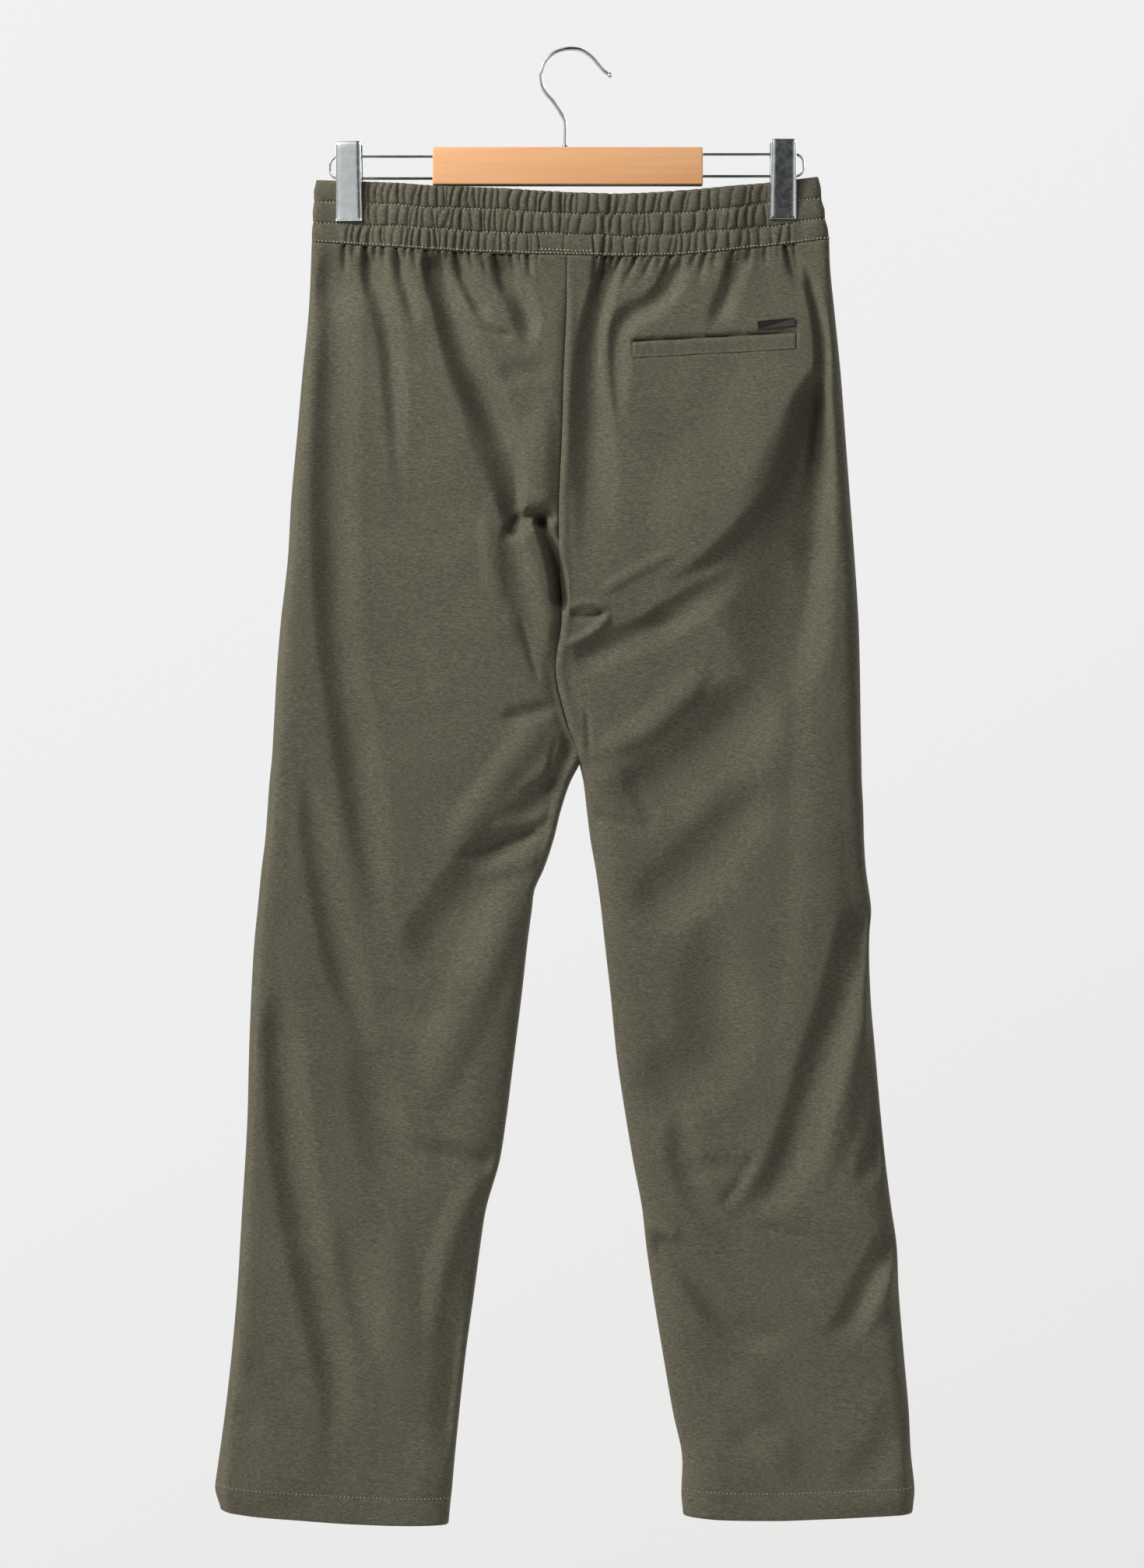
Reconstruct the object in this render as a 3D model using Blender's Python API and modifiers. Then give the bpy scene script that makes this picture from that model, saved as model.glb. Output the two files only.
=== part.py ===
# Joggers with an elasticated waist, hung flat from a wooden clip hanger, seen from the back.
# Metres, +Z up, +X to the wearer's right. The origin is the underside of the hook's bend, so every
# height is a "drop": how far a point hangs below the rail. Tables of the cloth are in millimetres.

import math
from collections import namedtuple

import bmesh
import bpy
import numpy as np

MM = 0.001
COLLECTION = "joggers_on_clip_hanger"

# ---------------------------------------------------------------- cloth, in millimetres
CLOTH_WALL = 1.3
HEM_WALL = 2.6  # the turned-up hem is two layers
SEAM_GAP = 0.3
EDGE_ROUNDNESS = 2.3  # power of the curve that turns the cloth over at a side seam
EDGE_ROLL = 42.0  # how far in from a leg's edge the cloth is still turning over
WAIST_ROLL = 9.0  # the same at the waistband, which is pinched flat
SEAM_FADE = 18.0  # folds die away over this distance before an edge seam
TOP_FADE = 12.0  # and over this one below the waistband
FOLD_TIP = 4.0  # a fold reaches this far past the ends of its course
FOLD_RISE, FOLD_FALL = 0.2, 0.3  # shares of a fold's length over which it deepens and dies away
CROTCH_DROP = 552.0
CROTCH_RISE = 122.0  # height over which the seat closes down to the crotch
BACK_COLUMNS = 20
FRONT_COLUMNS = 9
LONGEST_ROW = 33.0  # a longer step between two sections is halved

# One row for each section: the drop of the section, the x of the left leg's outer and inner edge and of
# the right leg's inner and outer edge, and how far the back and the front stand off the middle plane.
# Above the crotch both inner edges are the centre seam.
Section = namedtuple("Section", "drop left_outer left_inner right_inner right_outer back front")
SECTIONS = (
    Section(148.5, -201.0, -3.0, -3.0, 199.8, 9.0, 8.0),
    Section(167.0, -201.6, -3.2, -3.2, 200.4, 10.5, 8.6),
    Section(203.0, -203.4, -3.6, -3.6, 204.0, 13.0, 9.5),
    Section(251.0, -208.2, -5.7, -5.7, 208.8, 15.0, 10.5),
    Section(299.0, -212.4, -7.0, -7.0, 212.4, 16.0, 11.0),
    Section(347.0, -216.8, -9.2, -9.2, 216.0, 16.5, 11.0),
    Section(395.0, -219.6, -9.2, -9.2, 219.6, 16.5, 11.0),
    Section(443.0, -225.0, -7.2, -7.2, 222.6, 16.0, 11.0),
    Section(480.0, -228.0, -12.0, -12.0, 223.6, 15.5, 11.0),
    Section(520.0, -230.2, -3.2, -3.2, 224.2, 15.0, 11.0),
    Section(CROTCH_DROP, -232.2, 6.3, 6.3, 224.8, 14.5, 11.0),
    Section(563.0, -233.4, 0.6, 9.0, 225.0, 14.0, 11.0),
    Section(587.0, -235.2, -7.8, 12.0, 226.2, 13.5, 11.0),
    Section(611.0, -237.0, -13.8, 15.0, 226.8, 13.5, 11.0),
    Section(635.0, -240.0, -22.0, 19.2, 228.4, 13.0, 11.0),
    Section(649.0, -241.4, -28.4, 21.2, 230.4, 13.0, 11.0),
    Section(664.0, -242.8, -30.4, 23.2, 232.3, 13.0, 11.0),
    Section(683.0, -244.8, -33.0, 25.2, 231.0, 13.0, 11.0),
    Section(731.0, -247.8, -38.4, 30.6, 231.8, 12.5, 11.0),
    Section(779.0, -249.6, -44.4, 35.4, 235.8, 12.5, 11.0),
    Section(827.0, -250.8, -50.4, 42.6, 240.0, 12.5, 11.0),
    Section(858.0, -252.4, -55.2, 47.8, 243.2, 12.5, 11.0),
    Section(899.0, -255.0, -66.6, 55.4, 248.4, 12.5, 11.0),
    Section(920.0, -256.2, -69.8, 57.6, 251.6, 12.5, 11.0),
    Section(959.0, -258.6, -75.0, 63.0, 253.6, 12.5, 11.0),
    Section(1007.0, -262.8, -81.6, 70.8, 257.4, 12.5, 11.0),
    Section(1055.0, -268.2, -87.0, 79.2, 261.6, 12.5, 11.0),
    Section(1086.0, -272.4, -90.6, 86.0, 263.2, 12.5, 11.0),
    Section(1107.0, -275.4, -92.8, 85.4, 265.6, 12.5, 11.0),
    Section(1110.0, -275.8, -93.2, 85.3, 265.8, 12.5, 11.0),
    Section(1127.0, -271.8, -95.0, 86.6, 264.4, 12.5, 11.0),
)
HEM_LINE = 1108.5

# Curves across the garment: x and drop of the waistband's edges, and how far along a hem from the inner
# edge to the outer one, and its drop, for each leg.
Point = namedtuple("Point", "x drop")
BAND_TOP = tuple(Point(*p) for p in ((-199, 101.4), (-150, 103.2), (-110, 106.2), (-60, 108.2),
                                     (0, 111.6), (40, 112.6), (75, 111.0), (145, 104.3), (192, 98.8)))
BAND_BOTTOM = tuple(Point(*p) for p in ((-201, 148.8), (-130, 153.6), (-68, 157.6), (0, 159.2),
                                        (60, 160.2), (100, 158.0), (145, 153.2), (200, 146.4)))
Hem = namedtuple("Hem", "along left right")
HEMS = (Hem(0.0, 1138.5, 1131.5), Hem(0.15, 1138.5, 1133.8), Hem(0.4, 1137.2, 1134.4),
        Hem(0.65, 1134.2, 1132.8), Hem(0.85, 1131.2, 1131.0), Hem(1.0, 1127.0, 1129.6))
HEM_BLEND = 90.0  # the rows above the hem take on its slope over this height
WAIST_BLEND = 70.0

# One row for each fold: how deep it goes in from the outside (a ridge is negative), its half width on the
# viewer's left and right of its course, and the course itself, as x and drop.
Fold = namedtuple("Fold", "depth left right course")
BACK_FOLDS = (
    # left seat and thigh
    Fold(5.0, 18, 16, ((-188, 150), (-192, 250), (-195, 380), (-188, 460), (-178, 520), (-165, 600),
                       (-158, 650), (-148, 698))),
    Fold(4.5, 15, 13, ((-161, 152), (-151, 200), (-142, 260), (-139, 340))),
    Fold(7.0, 15, 15, ((-114, 155), (-101, 200), (-85, 260), (-62, 320), (-47, 371))),
    Fold(3.5, 13, 13, ((-90, 157), (-75, 200), (-66, 214))),
    Fold(4.0, 16, 14, ((-62, 157), (-43, 190), (-34, 222))),
    Fold(7.0, 13, 14, ((-48, 372), (-28, 358), (-16, 396), (-6, 436))),
    Fold(-4.5, 14, 14, ((-70, 356), (-66, 400), (-60, 436))),
    Fold(3.5, 15, 18, ((-56, 392), (-44, 450), (-24, 492))),
    Fold(8.0, 20, 12, ((-4, 520), (-12, 552), (-44, 582), (-84, 622), (-104, 662), (-132, 690))),
    Fold(-5.0, 18, 20, ((-24, 520), (-56, 556), (-86, 600), (-112, 636))),
    Fold(5.5, 12, 11, ((-20, 602), (-50, 613), (-84, 622))),
    Fold(4.0, 15, 13, ((-214, 560), (-200, 630), (-186, 705), (-160, 780))),
    Fold(3.5, 18, 18, ((-156, 728), (-128, 737), (-96, 738))),
    Fold(-3.5, 24, 22, ((-46, 640), (-66, 700), (-96, 780), (-112, 840))),
    # left calf
    Fold(5.0, 16, 15, ((-233, 720), (-228, 820), (-216, 905), (-198, 990), (-190, 1060), (-198, 1106))),
    Fold(3.5, 17, 20, ((-163, 785), (-150, 835), (-134, 868))),
    Fold(3.5, 14, 14, ((-104, 842), (-62, 856))),
    Fold(-3.0, 18, 18, ((-68, 868), (-92, 920), (-108, 1000))),
    # right seat and thigh
    Fold(5.5, 14, 14, ((21, 156), (9, 205), (4, 245), (10, 320))),
    Fold(3.5, 15, 17, ((84, 160), (52, 202), (30, 240), (38, 284))),
    Fold(3.0, 13, 13, ((124, 158), (112, 200), (106, 214))),
    Fold(7.5, 13, 11, ((170, 150), (188, 200), (191, 260), (184, 330), (176, 380))),
    Fold(-4.0, 26, 26, ((150, 235), (120, 300), (84, 350), (40, 398))),
    Fold(5.5, 20, 34, ((168, 276), (152, 350), (132, 440), (104, 516), (38, 558))),
    Fold(-4.0, 20, 14, ((104, 486), (64, 524), (20, 548))),
    Fold(6.0, 9, 9, ((-4, 434), (14, 438), (24, 432))),
    Fold(-3.5, 9, 9, ((-6, 424), (12, 424), (26, 428))),
    Fold(4.0, 12, 14, ((0, 464), (36, 444), (84, 418))),
    Fold(-3.5, 22, 22, ((202, 380), (182, 520), (168, 640), (140, 770), (118, 850))),
    Fold(4.5, 12, 12, ((12, 588), (58, 598))),
    Fold(6.0, 22, 26, ((140, 556), (112, 600), (76, 640), (36, 662))),
    # right knee and calf
    Fold(7.0, 13, 15, ((231, 663), (210, 690), (194, 740), (176, 806), (150, 868), (114, 900))),
    Fold(4.5, 26, 22, ((92, 690), (104, 762), (64, 800), (44, 816))),
    Fold(-3.5, 16, 18, ((222, 706), (200, 800), (184, 892))),
    Fold(3.0, 16, 16, ((80, 826), (88, 880), (106, 904))),
    Fold(6.5, 13, 14, ((56, 917), (86, 934), (114, 970), (138, 988), (168, 985))),
    Fold(-4.0, 9, 9, ((56, 908), (78, 912))),
    Fold(4.5, 18, 13, ((252, 918), (224, 952), (206, 982), (188, 988))),
    Fold(3.0, 18, 18, ((246, 1030), (240, 1080), (208, 1096))),
)
FRONT_FOLDS = (
    Fold(4.0, 20, 20, ((-170, 156), (-182, 300), (-178, 460), (-150, 640))),
    Fold(4.0, 20, 22, ((-96, 156), (-74, 260), (-30, 400), (-12, 500))),
    Fold(4.5, 24, 20, ((-10, 560), (-60, 610), (-130, 690))),
    Fold(3.5, 22, 22, ((-210, 660), (-196, 800), (-176, 980), (-186, 1090))),
    Fold(3.0, 24, 24, ((-64, 868), (-110, 930), (-150, 960))),
    Fold(4.0, 20, 20, ((172, 156), (184, 300), (176, 420), (160, 560))),
    Fold(4.0, 22, 20, ((70, 158), (58, 260), (30, 400), (16, 500))),
    Fold(4.5, 20, 24, ((18, 566), (60, 620), (120, 676))),
    Fold(4.0, 20, 22, ((226, 668), (196, 760), (150, 880))),
    Fold(3.0, 22, 24, ((62, 920), (110, 968), (170, 990))),
)

# ---------------------------------------------------------------- waistband, in millimetres
BAND_WALL = 2.5  # two layers of cloth over the elastic
BAND_COLUMNS = 256  # two to each of its 128 gathers
BAND_HALF_DEPTH = 9.2
BAND_EASE = 1.2  # how much fuller its lower edge is at the clips
CLIP_HALF_DEPTH = 3.5  # where the clips pinch it
CLIP_MARGIN = 1.5  # the pinch is full this far past a clip's sides
CLIP_REACH = 34.0  # the pinch has gone this far from a clip
BAND_END_POWER = 22.0
GATHER_DRIFT = 0.22  # how unevenly the gathers are spaced
# One row for each line along the band: how far down its height, gather height, puff of the channel, and
# how much its left and right ends stand out past a straight line.
Channel = namedtuple("Channel", "down gather puff left right")
CHANNELS = (
    Channel(0.00, 0.35, -0.3, 1.4, 0.6),
    Channel(0.16, 0.95, 0.7, 0.0, 0.0),
    Channel(0.33, 0.30, -0.5, 0.6, 0.9),
    Channel(0.50, 0.95, 0.7, 0.0, 0.0),
    Channel(0.66, 0.30, -0.5, 0.5, 0.8),
    Channel(0.83, 0.95, 0.7, 0.0, 0.0),
    Channel(1.00, 0.35, -0.3, 0.2, 0.2),
)
SMOOTH_PATCH = (-25.0, 17.0)  # no gathers here in the lowest channel, at the centre back

# ---------------------------------------------------------------- pocket and plate, in millimetres
WELT = {"left": 47.4, "right": 173.4, "top_left": 226.6, "top_right": 219.7, "height": 12.9, "thick": 1.4}
PLATE = {"left": 143.6, "right": 172.4, "top_left": 211.0, "top_right": 208.2, "height": 6.7, "thick": 1.2}
LAID_GAP = 0.3
WELT_COLUMNS = 12
PLATE_COLUMNS = 5

# ---------------------------------------------------------------- hanger, in metres
BAR_LEFT, BAR_RIGHT = -0.1072, 0.1018
BAR_TOP, BAR_BOTTOM = -0.0754, -0.1046
BAR_DEPTH = 0.012
BAR_BEVEL = 0.0012
RUNNING_GAP = 0.0003
HOOK_WIRE = 0.0014  # radius
HOOK_X = -0.0047
HOOK_INTO_BAR = 0.014
TIP_BALL = 0.0021
LOOP_WIRE = 0.001  # radius
LOOP_CORNER = 0.0066
LOOP_INTO_BAR = 0.012
# One row for each end of the hanger: side (-1 left, 1 right), the bar end that the loop goes into, the
# loop's outer end, its upper wire, the clip's middle and the clip's top.
End = namedtuple("End", "name side bar_end loop_end upper_wire clip_x clip_top")
ENDS = (
    End("left", -1, BAR_LEFT, -0.1868, -0.0822, -0.1713, -0.0716),
    End("right", 1, BAR_RIGHT, 0.1798, -0.0805, 0.1637, -0.0699),
)
LOOP_HEIGHT = 0.0169  # between the two wires
CLIP_LENGTH = 0.0612
CLIP_WIDTH = 0.0200
CLIP_SHEET = 0.0009
# One row for each section of a jaw from its top: how far down, how far the outer face stands off the
# middle plane, the depth of the bent sides, and the width as a share of the clip's.
Jaw = namedtuple("Jaw", "down stand side width")
EAR = 99.0  # marks the ears, whose sides reach almost to the middle plane
JAWS = (
    Jaw(0.0000, 0.0112, 0.0016, 0.97),
    Jaw(0.0030, 0.0112, 0.0030, 0.98),
    Jaw(0.0115, 0.0105, 0.0034, 0.99),
    Jaw(0.0119, 0.0105, EAR, 0.99),
    Jaw(0.0262, 0.0093, EAR, 1.00),
    Jaw(0.0266, 0.0093, 0.0026, 1.00),
    Jaw(0.0400, 0.0070, 0.0014, 1.02),
    Jaw(0.0560, 0.0053, 0.0012, 1.03),
    Jaw(0.0612, 0.0050, 0.0012, 1.03),
)
SPRING_RADIUS = 0.0034
PIN_RADIUS = 0.0013


# ---------------------------------------------------------------- scene helpers
def clear_scene():
    for thing in list(bpy.data.objects):
        bpy.data.objects.remove(thing, do_unlink=True)


def new_collection(name):
    collection = bpy.data.collections.new(name)
    bpy.context.scene.collection.children.link(collection)
    return collection


def material(name, colour, roughness, metallic=0.0):
    made = bpy.data.materials.new(name)
    made.use_nodes = True
    shader = made.node_tree.nodes["Principled BSDF"]
    shader.inputs["Base Color"].default_value = (*colour, 1.0)
    shader.inputs["Roughness"].default_value = roughness
    shader.inputs["Metallic"].default_value = metallic
    made.diffuse_color = (*colour, 1.0)
    return made


def add_object(name, mesh, finish):
    mesh.shade_smooth()
    mesh.set_sharp_from_angle(angle=math.radians(40))
    mesh.materials.append(finish)
    thing = bpy.data.objects.new(name, mesh)
    parts.objects.link(thing)
    return thing


def split_quad(model, a, b, c, d, from_a):
    """Fills four corners with two triangles that share the edge a to c, or else b to d."""
    if from_a:
        model.faces.new((a, b, c))
        model.faces.new((a, c, d))
    else:
        model.faces.new((a, b, d))
        model.faces.new((b, c, d))


def loft(name, rings, finish, around=False):
    """Skins a row of closed rings, each going out along the outer side and back along the inner side.
    The last ring joins the first when the loft goes around, and otherwise both ends are closed.
    Both sides of an open loft are split the same way, along the folds, so that its wall stays even."""
    count = len(rings)
    points = len(rings[0])
    model = bmesh.new()
    verts = [[model.verts.new(point) for point in ring] for ring in rings]
    for i in range(count if around else count - 1):
        one = verts[i]
        two = verts[(i + 1) % count]
        for j in range(points):
            k = (j + 1) % points
            opposite = points - 2 - j
            outer = min(j, opposite)
            if around or outer < 0:
                model.faces.new((one[j], one[k], two[k], two[j]))
                continue
            falling = (two[outer + 1].co - one[outer].co).length
            rising = (two[outer].co - one[outer + 1].co).length
            split_quad(model, one[j], one[k], two[k], two[j], (falling < rising) == (j < opposite))
    if not around:
        first, last = verts[0], verts[-1]
        for j in range(points // 2 - 1):
            model.faces.new((first[j + 1], first[j], first[-1 - j], first[-2 - j]))
            model.faces.new((last[j], last[j + 1], last[-2 - j], last[-1 - j]))
    if model.calc_volume(signed=True) < 0.0:
        bmesh.ops.reverse_faces(model, faces=model.faces[:])
    mesh = bpy.data.meshes.new(name)
    model.to_mesh(mesh)
    model.free()
    return add_object(name, mesh, finish)


# ---------------------------------------------------------------- the shape of the cloth, in millimetres
def smooth_step(value):
    t = np.clip(value, 0.0, 1.0)
    return t * t * (3.0 - 2.0 * t)


def section_value(drop, column):
    return np.interp(drop, [row.drop for row in SECTIONS], [getattr(row, column) for row in SECTIONS])


def along_curve(curve, x):
    """The drop at x on a smooth curve through the given points."""
    xs = np.array([point.x for point in curve], float)
    drops = np.array([point.drop for point in curve], float)
    slopes = np.gradient(drops, xs)
    x = np.clip(x, xs[0], xs[-1])
    i = np.clip(np.searchsorted(xs, x) - 1, 0, len(xs) - 2)
    span = xs[i + 1] - xs[i]
    t = (x - xs[i]) / span
    start = (1 + 2 * t) * (1 - t) ** 2 * drops[i] + t * (1 - t) ** 2 * span * slopes[i]
    return start + t**2 * (3 - 2 * t) * drops[i + 1] + t**2 * (t - 1) * span * slopes[i + 1]


def fold_relief(x, drop, folds):
    """How far in the folds push the cloth at each point."""
    total = np.zeros_like(x)
    for fold in folds:
        course = np.array(fold.course, float)
        steps = np.hypot(*np.diff(course, axis=0).T)
        length = steps.sum()
        nearest = np.full_like(x, 1e6)
        side = np.zeros_like(x)
        travelled = np.zeros_like(x)
        start = 0.0
        for (ax, ad), (bx, bd), step in zip(course[:-1], course[1:], steps):
            t = np.clip(((x - ax) * (bx - ax) + (drop - ad) * (bd - ad)) / step**2, 0.0, 1.0)
            away = np.hypot(x - ax - t * (bx - ax), drop - ad - t * (bd - ad))
            closer = away < nearest
            nearest = np.where(closer, away, nearest)
            cross = (bx - ax) * (drop - ad) - (bd - ad) * (x - ax)
            side = np.where(closer, np.sign(cross), side)
            travelled = np.where(closer, start + t * step, travelled)
            start += step
        half_width = np.where(side > 0, fold.left, fold.right)
        across = np.clip(1.0 - (nearest / half_width) ** 2, 0.0, 1.0) ** 2
        starts = smooth_step((travelled + FOLD_TIP) / (FOLD_RISE * length))
        dies = smooth_step((length + FOLD_TIP - travelled) / (FOLD_FALL * length))
        total += fold.depth * across * starts * dies
    return total


def band_half_depth(x, down):
    """Half the waistband's depth at x: pinched at the clips, fuller between them and lower down."""
    pinched = np.zeros_like(x)
    for end in ENDS:
        away = np.abs(x - end.clip_x / MM) - 0.5 * CLIP_WIDTH / MM - CLIP_MARGIN
        pinched = np.maximum(pinched, 1.0 - smooth_step(away / CLIP_REACH))
    eased = np.maximum(0.0, (down - 0.72) / 0.28) * BAND_EASE
    return BAND_HALF_DEPTH + (CLIP_HALF_DEPTH + eased - BAND_HALF_DEPTH) * pinched


def turned_over(distance, roll):
    return (1.0 - (1.0 - np.clip(distance / roll, 0.0, 1.0)) ** EDGE_ROUNDNESS) ** (1.0 / EDGE_ROUNDNESS)


def cloth_point(side, face, along, drop):
    """x, y and drop of the outer surface. side is -1 left or 1 right, face is -1 back or 1 front, along
    runs from 0 at the inner edge to 1 at the outer edge, and drop is the section's."""
    name = "left" if side < 0 else "right"
    inner = section_value(drop, name + "_inner")
    outer = section_value(drop, name + "_outer")
    x = inner + (outer - inner) * along
    top, bottom = SECTIONS[0].drop, SECTIONS[-1].drop
    seam = along_curve(BAND_BOTTOM, x) + SEAM_GAP
    hem = np.interp(along, [row.along for row in HEMS], [getattr(row, name) for row in HEMS])
    lower = (seam - top) * (1.0 - smooth_step((drop - top) / WAIST_BLEND))
    lower = lower + (hem - bottom) * smooth_step(1.0 - (bottom - drop) / HEM_BLEND)
    hangs = drop + lower
    # how far the face stands off the middle plane
    settled = smooth_step((drop - top) / WAIST_BLEND)
    depth = section_value(drop, "back" if face < 0 else "front")
    full = band_half_depth(x, np.ones_like(x)) * (1.0 - settled) + depth * settled
    roll = WAIST_ROLL + (EDGE_ROLL - WAIST_ROLL) * settled
    from_outer = np.abs(outer - x)
    from_inner = np.abs(x - inner)
    stand = full * turned_over(from_outer, roll)
    closing = np.clip((drop - CROTCH_DROP + CROTCH_RISE) / CROTCH_RISE, 0.0, 1.0)
    at_seam = full * (1.0 - closing**2.4) ** 0.5
    stand = at_seam + (stand - at_seam) * turned_over(from_inner, EDGE_ROLL)
    # folds die away at every seam that turns over
    near_inner = np.where(closing > 0.0, smooth_step(from_inner / SEAM_FADE), 1.0)
    near_inner = 1.0 + (near_inner - 1.0) * closing
    fade = smooth_step(from_outer / SEAM_FADE) * near_inner * smooth_step((hangs - seam) / TOP_FADE)
    stand = stand - fold_relief(x, hangs, BACK_FOLDS if face < 0 else FRONT_FOLDS) * fade
    return x, face * stand, hangs


def panel_rows():
    rows = []
    for upper, lower in zip(SECTIONS[:-1], SECTIONS[1:]):
        parts_of_step = 2 if lower.drop - upper.drop > LONGEST_ROW else 1
        for i in range(parts_of_step):
            rows.append(upper.drop + (lower.drop - upper.drop) * i / parts_of_step)
    return np.array([*rows, SECTIONS[-1].drop])


def edge_normals(points, side, face, inner_edge, rows):
    """Normals that two neighbouring panels share along a seam, so that their cut edges stay parallel."""
    x, y, drop = points
    slope_x = np.gradient(x, drop)
    slope_y = np.gradient(y, drop)
    out = side * (-1.0 if inner_edge else 1.0)
    normals = np.stack([np.full_like(x, out), np.zeros_like(x), out * slope_x], axis=-1)
    if inner_edge:
        seat = rows < CROTCH_DROP - 1.0
        down = np.stack([np.zeros_like(x), np.full_like(x, float(face)), face * slope_y], axis=-1)
        normals = np.where(seat[:, None], down, normals)
        crotch = np.abs(rows - CROTCH_DROP) < 1.0
        normals[crotch] = (out * 0.5, 0.0, -0.87)
    return normals / np.linalg.norm(normals, axis=-1, keepdims=True)


def panel_grids(side, face, columns):
    """Outer and inner points of one leg panel, rows by columns, in millimetres with z up."""
    rows = panel_rows()
    even = np.linspace(0.0, 1.0, columns + 1)
    along = 0.45 * even + 0.55 * (1.0 - np.cos(np.pi * even)) / 2.0
    grid_along, grid_drop = np.meshgrid(along, rows)
    x, y, drop = cloth_point(side, face, grid_along, grid_drop)
    across = np.stack([np.gradient(x, axis=1), np.gradient(y, axis=1), -np.gradient(drop, axis=1)], axis=-1)
    down = np.stack([np.gradient(x, axis=0), np.gradient(y, axis=0), -np.gradient(drop, axis=0)], axis=-1)
    normals = np.cross(across, down) * side * face
    normals /= np.linalg.norm(normals, axis=-1, keepdims=True)
    for column, inner_edge in ((0, True), (-1, False)):
        points = (x[:, column], y[:, column], drop[:, column])
        normals[:, column] = edge_normals(points, side, face, inner_edge, rows)
    wall = np.where(grid_drop > HEM_LINE, HEM_WALL, CLOTH_WALL)[..., None]
    outer = np.stack([x + side * SEAM_GAP / 2.0, y + face * SEAM_GAP / 2.0, -drop], axis=-1)
    return outer, outer - normals * wall


def leg_panel(name, side, face, columns, finish):
    outer, inner = panel_grids(side, face, columns)
    rings = [[*(row * MM), *(back[::-1] * MM)] for row, back in zip(outer, inner)]
    return loft(name, rings, finish)


# ---------------------------------------------------------------- waistband
def band_loop(down, inset):
    """Points once around the band at one height, evenly spaced, starting at the left end: x, y, normal."""
    row_of = [row.down for row in CHANNELS]
    left = np.interp(down, (0.0, 1.0), (BAND_TOP[0].x, BAND_BOTTOM[0].x))
    right = np.interp(down, (0.0, 1.0), (BAND_TOP[-1].x, BAND_BOTTOM[-1].x))
    left += np.interp(down, row_of, [row.left for row in CHANNELS]) + inset
    right -= np.interp(down, row_of, [row.right for row in CHANNELS]) + inset
    turn = np.linspace(0.0, 2.0 * np.pi, 4001)[:-1]
    run = -np.cos(turn)
    x = (left + right) / 2.0 + (right - left) / 2.0 * run
    rounded = (1.0 - np.abs(run) ** BAND_END_POWER) ** 0.5
    y = -np.sign(np.sin(turn)) * (band_half_depth(x, down) - inset) * rounded
    closed_x, closed_y = np.append(x, x[0]), np.append(y, y[0])
    length = np.append(0.0, np.cumsum(np.hypot(np.diff(closed_x), np.diff(closed_y))))
    shift = GATHER_DRIFT * np.sin(np.arange(BAND_COLUMNS) * 0.37 + 9.0 * down)
    wanted = (np.arange(BAND_COLUMNS) + 0.5 + shift) / BAND_COLUMNS * length[-1]
    px, py = np.interp(wanted, length, closed_x), np.interp(wanted, length, closed_y)
    tangent = np.stack([np.roll(px, -1) - np.roll(px, 1), np.roll(py, -1) - np.roll(py, 1)])
    tangent /= np.hypot(*tangent)
    return px, py, tangent[1], -tangent[0]


def band_drop(x, down):
    top = along_curve(BAND_TOP, x)
    return top + (along_curve(BAND_BOTTOM, x) - top) * down


def waistband(finish):
    outer = []
    number = np.arange(BAND_COLUMNS)
    for row in CHANNELS:
        x, y, normal_x, normal_y = band_loop(row.down, 0.0)
        size = 0.72 + 0.28 * np.sin(number // 2 * 2.4 + row.down * 17.0)
        lift = np.where(number % 2, row.gather, -row.gather) * size + row.puff
        clipped = band_half_depth(x, 0.0 * x) < CLIP_HALF_DEPTH + 0.3
        lift = np.where(clipped & (row.down < 0.7), np.minimum(lift, 0.0) * 0.4, lift)
        bare = (x > SMOOTH_PATCH[0]) & (x < SMOOTH_PATCH[1]) & (y < 0.0) & (row.down > 0.7)
        lift = np.where(bare, 0.1 * lift, lift)
        at_edge = np.abs(normal_x) > 0.35
        lift = np.where(at_edge, 0.3 * lift, lift)
        outer.append(np.stack([x + normal_x * lift, y + normal_y * lift, -band_drop(x, row.down)], axis=-1))
    inner = []
    for down in (1.0, 0.0):
        x, y, normal_x, normal_y = band_loop(down, BAND_WALL)
        inner.append(np.stack([x, y, -band_drop(x, down)], axis=-1))
    columns = np.stack([*outer, *inner], axis=1) * MM
    return loft("waistband", columns, finish, around=True)


# ---------------------------------------------------------------- what lies on the right back panel
def panel_facets(side, face, columns):
    """The panel's own flat facets, for finding how far out it stands at a point."""
    outer, _ = panel_grids(side, face, columns)
    corners = (outer[:-1, :-1], outer[:-1, 1:], outer[1:, 1:], outer[1:, :-1])
    one = np.stack([corners[0], corners[1], corners[2]], axis=-2).reshape(-1, 3, 3)
    two = np.stack([corners[0], corners[2], corners[3]], axis=-2).reshape(-1, 3, 3)
    other = np.stack([corners[0], corners[1], corners[3]], axis=-2).reshape(-1, 3, 3)
    last = np.stack([corners[1], corners[2], corners[3]], axis=-2).reshape(-1, 3, 3)
    return np.concatenate([one, two, other, last])


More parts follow.
